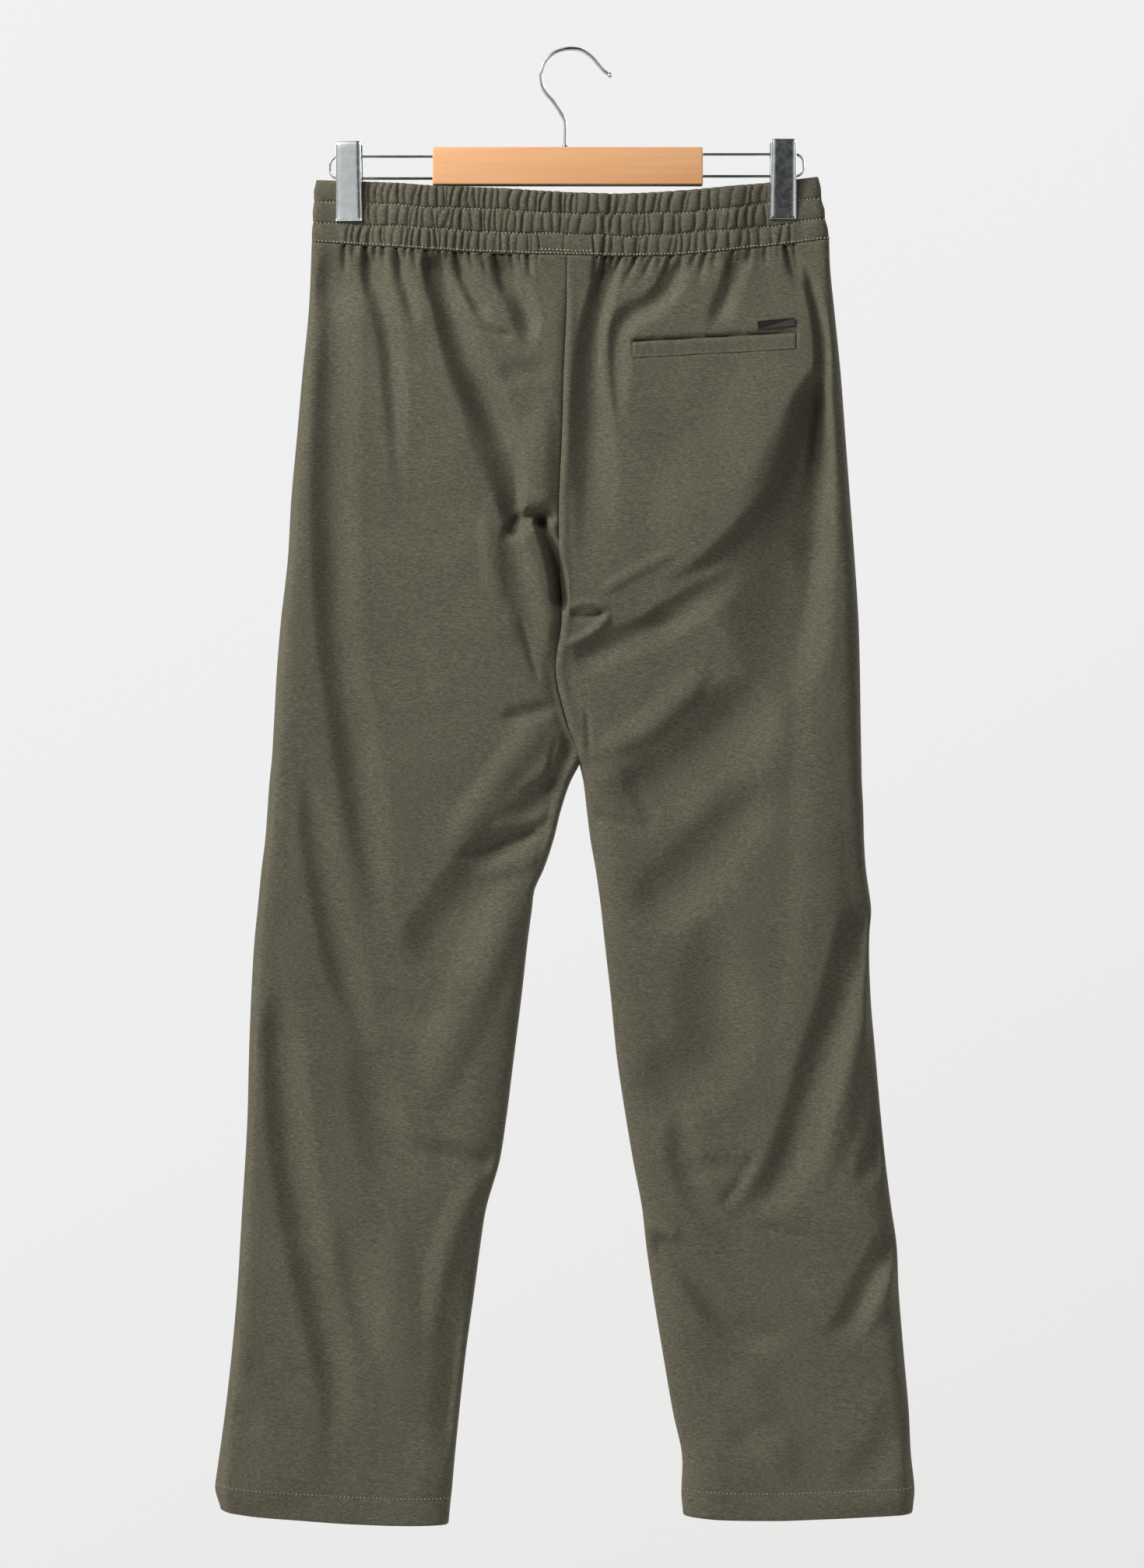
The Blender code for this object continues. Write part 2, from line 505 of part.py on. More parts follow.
def furthest_out(facets, x, z):
    """The y of the back panel's surface at x and z, however its quads are split."""
    a, b, c = facets[:, 0], facets[:, 1], facets[:, 2]
    area = (b[:, 0] - a[:, 0]) * (c[:, 2] - a[:, 2]) - (c[:, 0] - a[:, 0]) * (b[:, 2] - a[:, 2])
    s = ((x - a[:, 0]) * (c[:, 2] - a[:, 2]) - (c[:, 0] - a[:, 0]) * (z - a[:, 2])) / area
    t = ((b[:, 0] - a[:, 0]) * (z - a[:, 2]) - (x - a[:, 0]) * (b[:, 2] - a[:, 2])) / area
    inside = (s >= -1e-6) & (t >= -1e-6) & (s + t <= 1.0 + 1e-6)
    y = a[:, 1] + s * (b[:, 1] - a[:, 1]) + t * (c[:, 1] - a[:, 1])
    return y[inside].min()


def laid_strip(name, sizes, columns, finish):
    """A flat strip lying on the right back panel, its inner face following the panel's surface."""
    facets = panel_facets(1, -1, BACK_COLUMNS)
    spread = 0.5 * (sizes["right"] - sizes["left"]) / columns
    reach = 0.25 * sizes["height"]
    rings = []
    for down in (0.0, 0.5, 1.0):
        front, back = [], []
        for i in range(columns + 1):
            x = sizes["left"] + (sizes["right"] - sizes["left"]) * i / columns
            top = sizes["top_left"] + (sizes["top_right"] - sizes["top_left"]) * i / columns
            z = -(top + sizes["height"] * down)
            nearby = [(x + dx, z + dz) for dx in (-spread, 0.0, spread) for dz in (-reach, 0.0, reach)]
            y = min(furthest_out(facets, *spot) for spot in nearby) - LAID_GAP
            front.append((x * MM, (y - sizes["thick"]) * MM, z * MM))
            back.append((x * MM, y * MM, z * MM))
        rings.append([*front, *back[::-1]])
    return loft(name, rings, finish)


# ---------------------------------------------------------------- hanger
def to_mesh_object(curve_object, finish):
    """Turns a bevelled curve into a closed mesh object of the same name."""
    bpy.context.view_layer.update()
    graph = bpy.context.evaluated_depsgraph_get()
    mesh = bpy.data.meshes.new_from_object(curve_object.evaluated_get(graph))
    mesh.transform(curve_object.matrix_world)
    name = curve_object.name
    bpy.data.objects.remove(curve_object, do_unlink=True)
    model = bmesh.new()
    model.from_mesh(mesh)
    bmesh.ops.remove_doubles(model, verts=model.verts[:], dist=1e-6)
    bmesh.ops.recalc_face_normals(model, faces=model.faces[:])
    model.to_mesh(mesh)
    model.free()
    mesh.materials.clear()
    return add_object(name, mesh, finish)


def wire(name, points, radius, finish, swell=None):
    """A round wire through points given as x and z, with a radius factor for each point if it swells."""
    curve = bpy.data.curves.new(name, "CURVE")
    curve.dimensions = "3D"
    curve.bevel_depth = radius
    curve.bevel_resolution = 2
    curve.use_fill_caps = True
    spline = curve.splines.new("POLY")
    spline.points.add(len(points) - 1)
    for i, (x, z) in enumerate(points):
        spline.points[i].co = (x, 0.0, z, 1.0)
        spline.points[i].radius = swell[i] if swell else 1.0
    thing = bpy.data.objects.new(name, curve)
    parts.objects.link(thing)
    return to_mesh_object(thing, finish)


def arc(centre, radius, start, end, steps):
    angles = np.radians(np.linspace(start, end, steps + 1))
    return [(centre[0] + radius * math.cos(a), centre[1] + radius * math.sin(a)) for a in angles]


def smooth_path(points, step):
    """Evenly spaced points on a Catmull-Rom curve through the given ones."""
    given = np.array(points)
    padded = np.vstack([2 * given[0] - given[1], given, 2 * given[-1] - given[-2]])
    dense = []
    for p0, p1, p2, p3 in zip(padded[:-3], padded[1:-2], padded[2:-1], padded[3:]):
        t = np.linspace(0.0, 1.0, 20, endpoint=False)[:, None]
        dense.append(0.5 * (2 * p1 + (p2 - p0) * t + (2 * p0 - 5 * p1 + 4 * p2 - p3) * t**2
                            + (3 * p1 - p0 - 3 * p2 + p3) * t**3))
    dense = np.vstack([*dense, given[-1:]])
    length = np.append(0.0, np.cumsum(np.hypot(*np.diff(dense, axis=0).T)))
    wanted = np.linspace(0.0, length[-1], round(length[-1] / step) + 1)
    return [(np.interp(w, length, dense[:, 0]), np.interp(w, length, dense[:, 1])) for w in wanted]


def hook(finish):
    stem_end = BAR_TOP - HOOK_INTO_BAR
    course = [(HOOK_X, stem_end), (HOOK_X, -0.0700), (HOOK_X, -0.0575), (-0.0062, -0.0518),
              (-0.0139, -0.0398), (-0.0193, -0.0336), (-0.0224, -0.0278), (-0.0235, -0.0215),
              (-0.0232, -0.0160), (-0.0211, -0.0100), (-0.0176, -0.0052), (-0.0122, -0.0011),
              (-0.0061, 0.0009), (0.0, HOOK_WIRE), (0.0061, 0.0007), (0.0114, -0.0017),
              (0.0168, -0.0060), (0.0214, -0.0115), (0.0252, -0.0158), (0.0284, -0.0181)]
    points = smooth_path(course, 0.0046)
    swell = [1.0] * len(points)
    # a small ball at the tip
    tip = np.array(points[-1])
    ahead = tip - np.array(points[-2])
    ahead /= np.hypot(*ahead)
    for forward, size in ((0.0008, 0.80), (0.0018, 1.0), (0.0028, 0.80), (0.0034, 0.35)):
        points.append(tuple(tip + ahead * forward))
        swell.append(size * TIP_BALL / HOOK_WIRE)
    return wire("hook", points, HOOK_WIRE, finish, swell)


def turned(name, profile, axis, centre, finish, steps=12):
    """A turned piece: a closed profile of radius and height, spun about the axis through the centre."""
    model = bmesh.new()
    edges = []
    verts = [model.verts.new((radius, 0.0, height)) for radius, height in profile]
    for i, vert in enumerate(verts):
        edges.append(model.edges.new((vert, verts[(i + 1) % len(verts)])))
    bmesh.ops.spin(model, geom=verts + edges, cent=(0, 0, 0), axis=(0, 0, 1), angle=2 * math.pi,
                   steps=steps, use_merge=True)
    bmesh.ops.remove_doubles(model, verts=model.verts[:], dist=1e-6)
    bmesh.ops.recalc_face_normals(model, faces=model.faces[:])
    mesh = bpy.data.meshes.new(name)
    model.to_mesh(mesh)
    model.free()
    thing = add_object(name, mesh, finish)
    thing.location = centre
    if axis == "X":
        thing.rotation_euler = (0.0, math.pi / 2, 0.0)
    return thing


def ferrule(finish):
    inside, outside = HOOK_WIRE + RUNNING_GAP, 0.0027
    profile = ((inside, 0.0), (outside, 0.0), (outside, 0.0009), (inside + 0.0005, 0.0022), (inside, 0.0022))
    return turned("hook_ferrule", profile, "Z", (HOOK_X, 0.0, BAR_TOP + RUNNING_GAP), finish)


def drill(target, radius, length, location, axis):
    """Cuts a round blind hole into the target."""
    bpy.ops.mesh.primitive_cylinder_add(vertices=12, radius=radius, depth=length, location=location)
    cutter = bpy.context.active_object
    cutter.name = f"drill_{len(cutters.objects)}"
    if axis == "X":
        cutter.rotation_euler = (0.0, math.pi / 2, 0.0)
    for owner in list(cutter.users_collection):
        owner.objects.unlink(cutter)
    cutters.objects.link(cutter)
    cutter.hide_render = True
    cutter.display_type = "WIRE"
    cut = target.modifiers.new(cutter.name, "BOOLEAN")
    cut.object = cutter
    cut.operation = "DIFFERENCE"


def bar(finish):
    model = bmesh.new()
    bmesh.ops.create_cube(model, size=1.0)
    bmesh.ops.scale(model, vec=(BAR_RIGHT - BAR_LEFT, BAR_DEPTH, BAR_TOP - BAR_BOTTOM), verts=model.verts[:])
    mesh = bpy.data.meshes.new("hanger_bar")
    model.to_mesh(mesh)
    model.free()
    thing = add_object("hanger_bar", mesh, finish)
    thing.location = ((BAR_LEFT + BAR_RIGHT) / 2, 0.0, (BAR_TOP + BAR_BOTTOM) / 2)
    edge = thing.modifiers.new("edges", "BEVEL")
    edge.width = BAR_BEVEL
    edge.segments = 2
    hole = HOOK_WIRE + RUNNING_GAP
    drill(thing, hole, 2 * (HOOK_INTO_BAR + RUNNING_GAP), (HOOK_X, 0.0, BAR_TOP), "Z")
    for end in ENDS:
        for wire_z in (end.upper_wire, end.upper_wire - LOOP_HEIGHT):
            mouth = (end.bar_end, 0.0, wire_z)
            drill(thing, LOOP_WIRE + RUNNING_GAP, 2 * (LOOP_INTO_BAR + RUNNING_GAP), mouth, "X")
    return thing


def wire_loop(end, finish):
    """A U of wire: out from the bar, round two corners, and back."""
    start = end.bar_end - end.side * LOOP_INTO_BAR
    upper, lower = end.upper_wire, end.upper_wire - LOOP_HEIGHT
    corner_x = end.loop_end - end.side * LOOP_CORNER
    if end.side > 0:
        top = arc((corner_x, upper - LOOP_CORNER), LOOP_CORNER, 90, 0, 5)
        bottom = arc((corner_x, lower + LOOP_CORNER), LOOP_CORNER, 0, -90, 5)
    else:
        top = arc((corner_x, upper - LOOP_CORNER), LOOP_CORNER, 90, 180, 5)
        bottom = arc((corner_x, lower + LOOP_CORNER), LOOP_CORNER, 180, 270, 5)
    points = [(start, upper), *top, *bottom, (start, lower)]
    return wire(f"wire_loop_{end.name}", points, LOOP_WIRE, finish)


def clip_jaw(end, face, finish):
    """One pressed jaw: a flat plate with its sides bent in, the ears between the two wires."""
    rings = []
    for row in JAWS:
        half = CLIP_WIDTH / 2 * row.width
        side = row.stand - RUNNING_GAP if row.side == EAR else row.side
        z = end.clip_top - row.down
        outline = ((-half, side), (-half, 0.0), (half, 0.0), (half, side),
                   (half - CLIP_SHEET, side), (half - CLIP_SHEET, CLIP_SHEET),
                   (CLIP_SHEET - half, CLIP_SHEET), (CLIP_SHEET - half, side))
        rings.append([(end.clip_x + x, face * (row.stand - inward), z) for x, inward in outline])
    return loft(f"clip_{end.name}_{'outer' if face < 0 else 'inner'}_jaw", rings, finish)


def clip_spring(end, finish):
    reach = CLIP_WIDTH / 2 - CLIP_SHEET - RUNNING_GAP - 0.0002
    coil = reach - 0.0014
    profile = ((0.0, -reach), (PIN_RADIUS, -reach), (PIN_RADIUS, -coil), (SPRING_RADIUS, -coil),
               (SPRING_RADIUS, coil), (PIN_RADIUS, coil), (PIN_RADIUS, reach), (0.0, reach))
    ear = sum(row.down for row in JAWS if row.side == EAR) / 2
    return turned(f"clip_{end.name}_spring", profile, "X", (end.clip_x, 0.0, end.clip_top - ear), finish)


clear_scene()
parts = new_collection(COLLECTION)
cutters = new_collection("cutters")

olive = material("olive_twill_jersey", (0.130, 0.120, 0.088), 0.92)
olive_rib = material("gathered_waist_jersey", (0.125, 0.116, 0.086), 0.92)
dark_metal = material("dark_painted_zinc", (0.035, 0.031, 0.027), 0.45, 0.6)
beech = material("lacquered_beech", (0.80, 0.46, 0.22), 0.42)
chrome = material("chromed_steel", (0.78, 0.78, 0.78), 0.12, 1.0)

leg_panel("back_left", -1, -1, BACK_COLUMNS, olive)
leg_panel("back_right", 1, -1, BACK_COLUMNS, olive)
leg_panel("front_left", -1, 1, FRONT_COLUMNS, olive)
leg_panel("front_right", 1, 1, FRONT_COLUMNS, olive)
waistband(olive_rib)
laid_strip("pocket_welt", WELT, WELT_COLUMNS, olive)
laid_strip("badge_plate", PLATE, PLATE_COLUMNS, dark_metal)
hook(chrome)
ferrule(chrome)
bar(beech)
for hanger_end in ENDS:
    wire_loop(hanger_end, chrome)
    clip_jaw(hanger_end, -1, chrome)
    clip_jaw(hanger_end, 1, chrome)
    clip_spring(hanger_end, chrome)
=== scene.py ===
# Joggers with a gathered elastic waist, hung from a wooden clip hanger and seen from the back.
# Metres, +Z up. The origin is where the hook sits on its rail, so the cloth tables below give each
# height as a drop under it, in millimetres.
import math
from collections import namedtuple

import bmesh
import bpy
import numpy as np
from mathutils import Matrix, Vector


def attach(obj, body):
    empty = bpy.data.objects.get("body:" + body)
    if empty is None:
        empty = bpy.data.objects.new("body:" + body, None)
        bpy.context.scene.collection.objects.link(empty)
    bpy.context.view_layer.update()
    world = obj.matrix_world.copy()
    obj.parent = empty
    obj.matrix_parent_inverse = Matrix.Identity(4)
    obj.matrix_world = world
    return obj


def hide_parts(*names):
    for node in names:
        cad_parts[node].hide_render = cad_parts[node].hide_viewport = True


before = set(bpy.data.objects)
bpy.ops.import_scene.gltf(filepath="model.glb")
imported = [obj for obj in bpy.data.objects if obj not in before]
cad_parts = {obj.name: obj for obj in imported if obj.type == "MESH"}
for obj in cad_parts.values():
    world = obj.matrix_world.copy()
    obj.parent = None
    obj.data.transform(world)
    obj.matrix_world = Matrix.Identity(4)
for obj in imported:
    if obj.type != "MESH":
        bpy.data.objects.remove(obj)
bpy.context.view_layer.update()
mm = 0.001


# ---- small tools
def smooth(value):
    t = np.clip(value, 0.0, 1.0)
    return t * t * (3.0 - 2.0 * t)


def within(x, low, high, blend):
    # 0 up to low, 1 from a blend past it until a blend before high, and 0 again from high
    return smooth((x - low) / blend) * smooth((high - x) / blend)


def bell(distance, width):
    return np.exp(-((distance / width) ** 2))


def hollow(distance, size):
    # a soft trough of a depth and a width
    depth, width = size
    return depth * bell(distance, width)


def curveThrough(xs, ys, at):
    # a smooth curve through the given points
    xs, ys = np.array(xs, float), np.array(ys, float)
    slopes = np.gradient(ys, xs)
    at = np.clip(at, xs[0], xs[-1])
    i = np.clip(np.searchsorted(xs, at) - 1, 0, len(xs) - 2)
    span = xs[i + 1] - xs[i]
    t = (at - xs[i]) / span
    start = (1 + 2 * t) * (1 - t) ** 2 * ys[i] + t * (1 - t) ** 2 * span * slopes[i]
    return start + t**2 * (3 - 2 * t) * ys[i + 1] + t**2 * (t - 1) * span * slopes[i + 1]


def runOf(points):
    # the length along a line up to each of its points
    return np.append(0.0, np.cumsum(np.linalg.norm(np.diff(points, axis=0), axis=1)))


def smoothLine(points, step):
    # evenly spaced points on a Catmull-Rom line through the given ones
    given = np.array(points, float)
    padded = np.vstack([2 * given[0] - given[1], given, 2 * given[-1] - given[-2]])
    dense = []
    for p0, p1, p2, p3 in zip(padded[:-3], padded[1:-2], padded[2:-1], padded[3:]):
        t = np.linspace(0.0, 1.0, 16, endpoint=False)[:, None]
        dense.append(0.5 * (2 * p1 + (p2 - p0) * t + (2 * p0 - 5 * p1 + 4 * p2 - p3) * t**2
                            + (3 * p1 - p0 - 3 * p2 + p3) * t**3))
    dense = np.vstack([*dense, given[-1:]])
    length = runOf(dense)
    wanted = np.linspace(0.0, length[-1], max(2, round(length[-1] / step) + 1))
    return np.stack([np.interp(wanted, length, column) for column in dense.T], axis=-1)


def unit(vectors):
    return vectors / np.maximum(np.linalg.norm(vectors, axis=-1, keepdims=True), 1e-12)


def gridNormals(points, way):
    # way is 1 or -1, whichever makes them look out
    return unit(np.cross(np.gradient(points, axis=1), np.gradient(points, axis=0)) * way)


def clothGrid(points, closed=False):
    # an even bmesh grid whose corners are moved to points[row, column], in millimetres
    rows, columns = points.shape[:2]
    bm = bmesh.new()
    bmesh.ops.create_grid(bm, x_segments=columns - 1, y_segments=rows - 1, size=0.5)
    for vert in bm.verts:
        column = round((vert.co.x + 0.5) * (columns - 1))
        row = round((vert.co.y + 0.5) * (rows - 1))
        vert.co = Vector(points[row, column]) * mm
    if closed:
        bmesh.ops.remove_doubles(bm, verts=bm.verts[:], dist=2e-6)
    bm.normal_update()
    return bm


def turnRound(bm, inside):
    if inside:
        bmesh.ops.reverse_faces(bm, faces=bm.faces[:])


def roundEdges(bm, edges, offset, segments):
    bmesh.ops.bevel(bm, geom=edges, offset=offset, offset_type="OFFSET", segments=segments, profile=0.5,
                    affect="EDGES", material=-1, clamp_overlap=True)


def inScene(name, data):
    made = bpy.data.objects.new(name, data)
    bpy.context.scene.collection.objects.link(made)
    return made


def finishPiece(name, bm, material, replaces=(), smoothAngle=38):
    mesh = bpy.data.meshes.new(name)
    bm.to_mesh(mesh)
    bm.free()
    mesh.shade_smooth()
    mesh.set_sharp_from_angle(angle=math.radians(smoothAngle))
    mesh.materials.append(material)
    piece = inScene(name, mesh)
    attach(piece, "root")
    if replaces:
        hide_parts(*replaces)
    return piece


def addWall(piece, thickness):
    # gives a sheet its wall, inwards from its outer face
    wall = piece.modifiers.new("clothWall", "SOLIDIFY")
    wall.thickness = thickness * mm
    wall.offset = -1.0


# ---- materials
def hexColour(text):
    # sRGB hex to linear
    parts = [int(text[i:i + 2], 16) / 255.0 for i in (0, 2, 4)]
    return (*[c / 12.92 if c <= 0.04045 else ((c + 0.055) / 1.055) ** 2.4 for c in parts], 1.0)


def addNode(tree, kind, feeds=None, stops=None, **settings):
    # stops are places on a colour ramp with a grey level or a hex colour each
    made = tree.nodes.new("ShaderNode" + kind)
    for name, value in settings.items():
        setattr(made, name, value)
    if stops:
        ramp = made.color_ramp
        while len(ramp.elements) < len(stops):
            ramp.elements.new(0.5)
        for element, (place, value) in zip(ramp.elements, stops):
            element.position = place
            element.color = hexColour(value) if isinstance(value, str) else (value,) * 3 + (1.0,)
    for socket, value in (feeds or {}).items():
        if isinstance(value, bpy.types.NodeSocket):
            tree.links.new(value, made.inputs[socket])
        else:
            made.inputs[socket].default_value = value
    return made


def newMaterial(name):
    # an empty material, its tree and the piece's own coordinates
    made = bpy.data.materials.new(name)
    made.use_nodes = True
    made.node_tree.nodes.clear()
    return made, made.node_tree, addNode(made.node_tree, "TexCoord").outputs["Object"]


def joggerCloth(name, look):
    # Brushed twill jersey in a polyester and viscose melange, woven and piece dyed: it is matt, its dark and
    # light yarns show as short streaks along the weft, and a short nap lifts the edges a little.
    made, tree, place = newMaterial(name)
    # yarn streaks: about 3.5 mm long and 0.8 mm high, a little coarser than the real 0.4 mm yarn
    streakMap = addNode(tree, "Mapping", {"Vector": place, "Scale": (280.0, 280.0, 1250.0)})
    streak = addNode(tree, "TexNoise", {"Vector": streakMap.outputs[0], "Scale": 1.0, "Detail": 3.0,
                                        "Roughness": 0.62})
    # single yarns: 0.9 mm by 0.45 mm
    yarnMap = addNode(tree, "Mapping", {"Vector": place, "Scale": (1100.0, 1100.0, 2200.0)})
    yarn = addNode(tree, "TexNoise", {"Vector": yarnMap.outputs[0], "Scale": 1.0, "Detail": 2.0,
                                      "Roughness": 0.7})
    # dye and nap differ a little over a hand's breadth
    cloud = addNode(tree, "TexNoise", {"Vector": place, "Scale": 14.0, "Detail": 2.0, "Roughness": 0.5})
    mixture = addNode(tree, "Math", {0: streak.outputs["Fac"], 1: yarn.outputs["Fac"]}, operation="ADD")
    mixture = addNode(tree, "Math", {0: mixture.outputs[0], 1: 0.5}, operation="MULTIPLY")
    melange = addNode(tree, "ValToRGB", {"Fac": mixture.outputs[0]},
                      stops=((0.34, look["dark"]), (0.50, look["mid"]), (0.66, look["light"])))
    dyed = addNode(tree, "MapRange", {"Value": cloud.outputs["Fac"], "From Min": 0.3, "From Max": 0.7,
                                      "To Min": 0.94, "To Max": 1.06})
    tinted = addNode(tree, "HueSaturation", {"Color": melange.outputs["Color"], "Value": dyed.outputs[0]})
    # twill ribs rise at a slant under the nap
    twillMap = addNode(tree, "Mapping", {"Vector": place, "Rotation": (0.0, math.radians(38.0), 0.0)})
    twill = addNode(tree, "TexWave", {"Vector": twillMap.outputs[0], "Scale": 145.0, "Distortion": 1.6,
                                      "Detail": 1.0, "Detail Scale": 2.0}, bands_direction="X")
    relief = addNode(tree, "Math", {0: twill.outputs["Fac"], 1: 0.35}, operation="MULTIPLY")
    relief = addNode(tree, "Math", {0: relief.outputs[0], 1: yarn.outputs["Fac"]}, operation="ADD")
    relief = addNode(tree, "Math", {0: relief.outputs[0], 1: streak.outputs["Fac"]}, operation="ADD")
    bump = addNode(tree, "Bump", {"Height": relief.outputs[0], "Strength": look["bump"], "Distance": 0.0004})
    rough = addNode(tree, "MapRange", {"Value": yarn.outputs["Fac"], "To Min": 0.86, "To Max": 1.0})
    shader = addNode(tree, "BsdfPrincipled", {
        "Base Color": tinted.outputs["Color"], "Roughness": rough.outputs[0], "Normal": bump.outputs["Normal"],
        "IOR": 1.45, "Specular IOR Level": 0.22, "Sheen Weight": look["sheen"], "Sheen Roughness": 0.45,
        "Sheen Tint": hexColour("b9b294")})
    addNode(tree, "OutputMaterial", {"Surface": shader.outputs[0]})
    return made


def threadMaterial(name, dark, light):
    # Spun polyester sewing thread: two twisted plies with a slight gloss.
    made, tree, place = newMaterial(name)
    ply = addNode(tree, "TexNoise", {"Vector": place, "Scale": 900.0, "Detail": 2.0})
    shade = addNode(tree, "ValToRGB", {"Fac": ply.outputs["Fac"]}, stops=((0.3, dark), (0.7, light)))
    bump = addNode(tree, "Bump", {"Height": ply.outputs["Fac"], "Strength": 0.5, "Distance": 0.0001})
    shader = addNode(tree, "BsdfPrincipled", {"Base Color": shade.outputs["Color"], "Roughness": 0.6,
                                              "Normal": bump.outputs["Normal"], "Sheen Weight": 0.1})
    addNode(tree, "OutputMaterial", {"Surface": shader.outputs[0]})
    return made


def beechMaterial(name):
    # Steamed beech, planed and clear lacquered: warm, with faint long grain, short dark ray flecks and a
    # satin coat.
    made, tree, place = newMaterial(name)
    # growth bands along the bar: 120 mm long, 5 mm wide
    bandMap = addNode(tree, "Mapping", {"Vector": place, "Scale": (8.0, 200.0, 200.0)})
    grain = addNode(tree, "TexNoise", {"Vector": bandMap.outputs[0], "Scale": 1.0, "Detail": 4.0,
                                       "Roughness": 0.6, "Distortion": 0.4})
    # pores and ray flecks: 4 mm by 0.5 mm
    fleckMap = addNode(tree, "Mapping", {"Vector": place, "Scale": (260.0, 1900.0, 1900.0)})
    fleck = addNode(tree, "TexNoise", {"Vector": fleckMap.outputs[0], "Scale": 1.0, "Detail": 2.0,
                                       "Roughness": 0.5})
    # two small smudges of darker heartwood
    smudgeMap = addNode(tree, "Mapping", {"Vector": place, "Scale": (42.0, 120.0, 120.0)})
    smudge = addNode(tree, "TexNoise", {"Vector": smudgeMap.outputs[0], "Scale": 1.0, "Detail": 3.0})
    wood = addNode(tree, "ValToRGB", {"Fac": grain.outputs["Fac"]},
                   stops=((0.28, "efb07a"), (0.52, "f5b984"), (0.75, "f9c18f")))
    specks = addNode(tree, "ValToRGB", {"Fac": fleck.outputs["Fac"]}, stops=((0.30, 0.72), (0.42, 1.0)))
    marks = addNode(tree, "ValToRGB", {"Fac": smudge.outputs["Fac"]}, stops=((0.66, 1.0), (0.76, 0.68)))
    flecked = addNode(tree, "Mix", {0: 0.28, 6: wood.outputs["Color"], 7: specks.outputs["Color"]},
                      data_type="RGBA", blend_type="MULTIPLY")
    marked = addNode(tree, "Mix", {0: 0.7, 6: flecked.outputs[2], 7: marks.outputs["Color"]},
                     data_type="RGBA", blend_type="MULTIPLY")
    bump = addNode(tree, "Bump", {"Height": fleck.outputs["Fac"], "Strength": 0.12, "Distance": 0.0002})
    shader = addNode(tree, "BsdfPrincipled", {
        "Base Color": marked.outputs[2], "Roughness": 0.46, "Normal": bump.outputs["Normal"],
        "Coat Weight": 0.25, "Coat Roughness": 0.22})
    addNode(tree, "OutputMaterial", {"Surface": shader.outputs[0]})
    return made


def chromeMaterial(name, look):
    # Bright chrome plate on pressed or drawn steel: mirror like, with handling marks that dull it in spots.
    made, tree, place = newMaterial(name)
    # wiping marks 6 mm across and fine specks under 1 mm
    wipe = addNode(tree, "TexNoise", {"Vector": place, "Scale": 160.0, "Detail": 3.0, "Roughness": 0.6})
    speck = addNode(tree, "TexNoise", {"Vector": place, "Scale": 1300.0, "Detail": 1.0})
    dull = addNode(tree, "Math", {0: wipe.outputs["Fac"], 1: speck.outputs["Fac"]}, operation="MULTIPLY")
    rough = addNode(tree, "MapRange", {"Value": dull.outputs[0], "From Min": 0.15, "From Max": 0.4,
                                       "To Min": look["smooth"], "To Max": look["dull"]})
    tone = addNode(tree, "ValToRGB", {"Fac": wipe.outputs["Fac"]},
                   stops=((0.35, look["low"]), (0.65, look["high"])))
    bump = addNode(tree, "Bump", {"Height": dull.outputs[0], "Strength": 0.015, "Distance": 0.0001})
    shader = addNode(tree, "BsdfPrincipled", {"Base Color": tone.outputs["Color"], "Metallic": 1.0,
                                              "Roughness": rough.outputs[0], "Normal": bump.outputs["Normal"]})
    addNode(tree, "OutputMaterial", {"Surface": shader.outputs[0]})
    return made


def zincMaterial(name):
    # Die-cast zinc with a dark satin paint: near black brown, a little uneven in tone.
    made, tree, place = newMaterial(name)
    grain = addNode(tree, "TexNoise", {"Vector": place, "Scale": 1500.0, "Detail": 3.0})
    paint = addNode(tree, "ValToRGB", {"Fac": grain.outputs["Fac"]}, stops=((0.35, "191714"), (0.7, "2e2b27")))
    bump = addNode(tree, "Bump", {"Height": grain.outputs["Fac"], "Strength": 0.3, "Distance": 0.0001})
    shader = addNode(tree, "BsdfPrincipled", {"Base Color": paint.outputs["Color"], "Specular IOR Level": 0.3,
                                              "Roughness": 0.6, "Normal": bump.outputs["Normal"]})
    addNode(tree, "OutputMaterial", {"Surface": shader.outputs[0]})
    return made


clothLook = {"dark": "48453a", "mid": "636052", "light": "817c6b", "bump": 0.34, "sheen": 0.10}
legCloth = joggerCloth("brushedTwillJersey", clothLook)
# the band's copy of the same cloth has a slightly darker middle tone: painted shade for the many small shadows
# among its gathers
bandCloth = joggerCloth("gatheredTwillJerseyPaintedShade", {**clothLook, "mid": "605d50", "bump": 0.26})
thread = threadMaterial("spunPolyesterThread", "b3ae8e", "d6d1b4")
hemThread = threadMaterial("oliveSpunPolyesterThread", "8b8871", "aeaa91")
beech = beechMaterial("lacqueredBeech")
chrome = chromeMaterial("brightChromePlate", {"smooth": 0.06, "dull": 0.16, "low": "b9bcbd", "high": "cfd1d2"})
clipChrome = chromeMaterial("handledChromePlate",
                            {"smooth": 0.16, "dull": 0.27, "low": "cfd3d3", "high": "dfe3e3"})
zinc = zincMaterial("paintedZinc")
print("materials made")


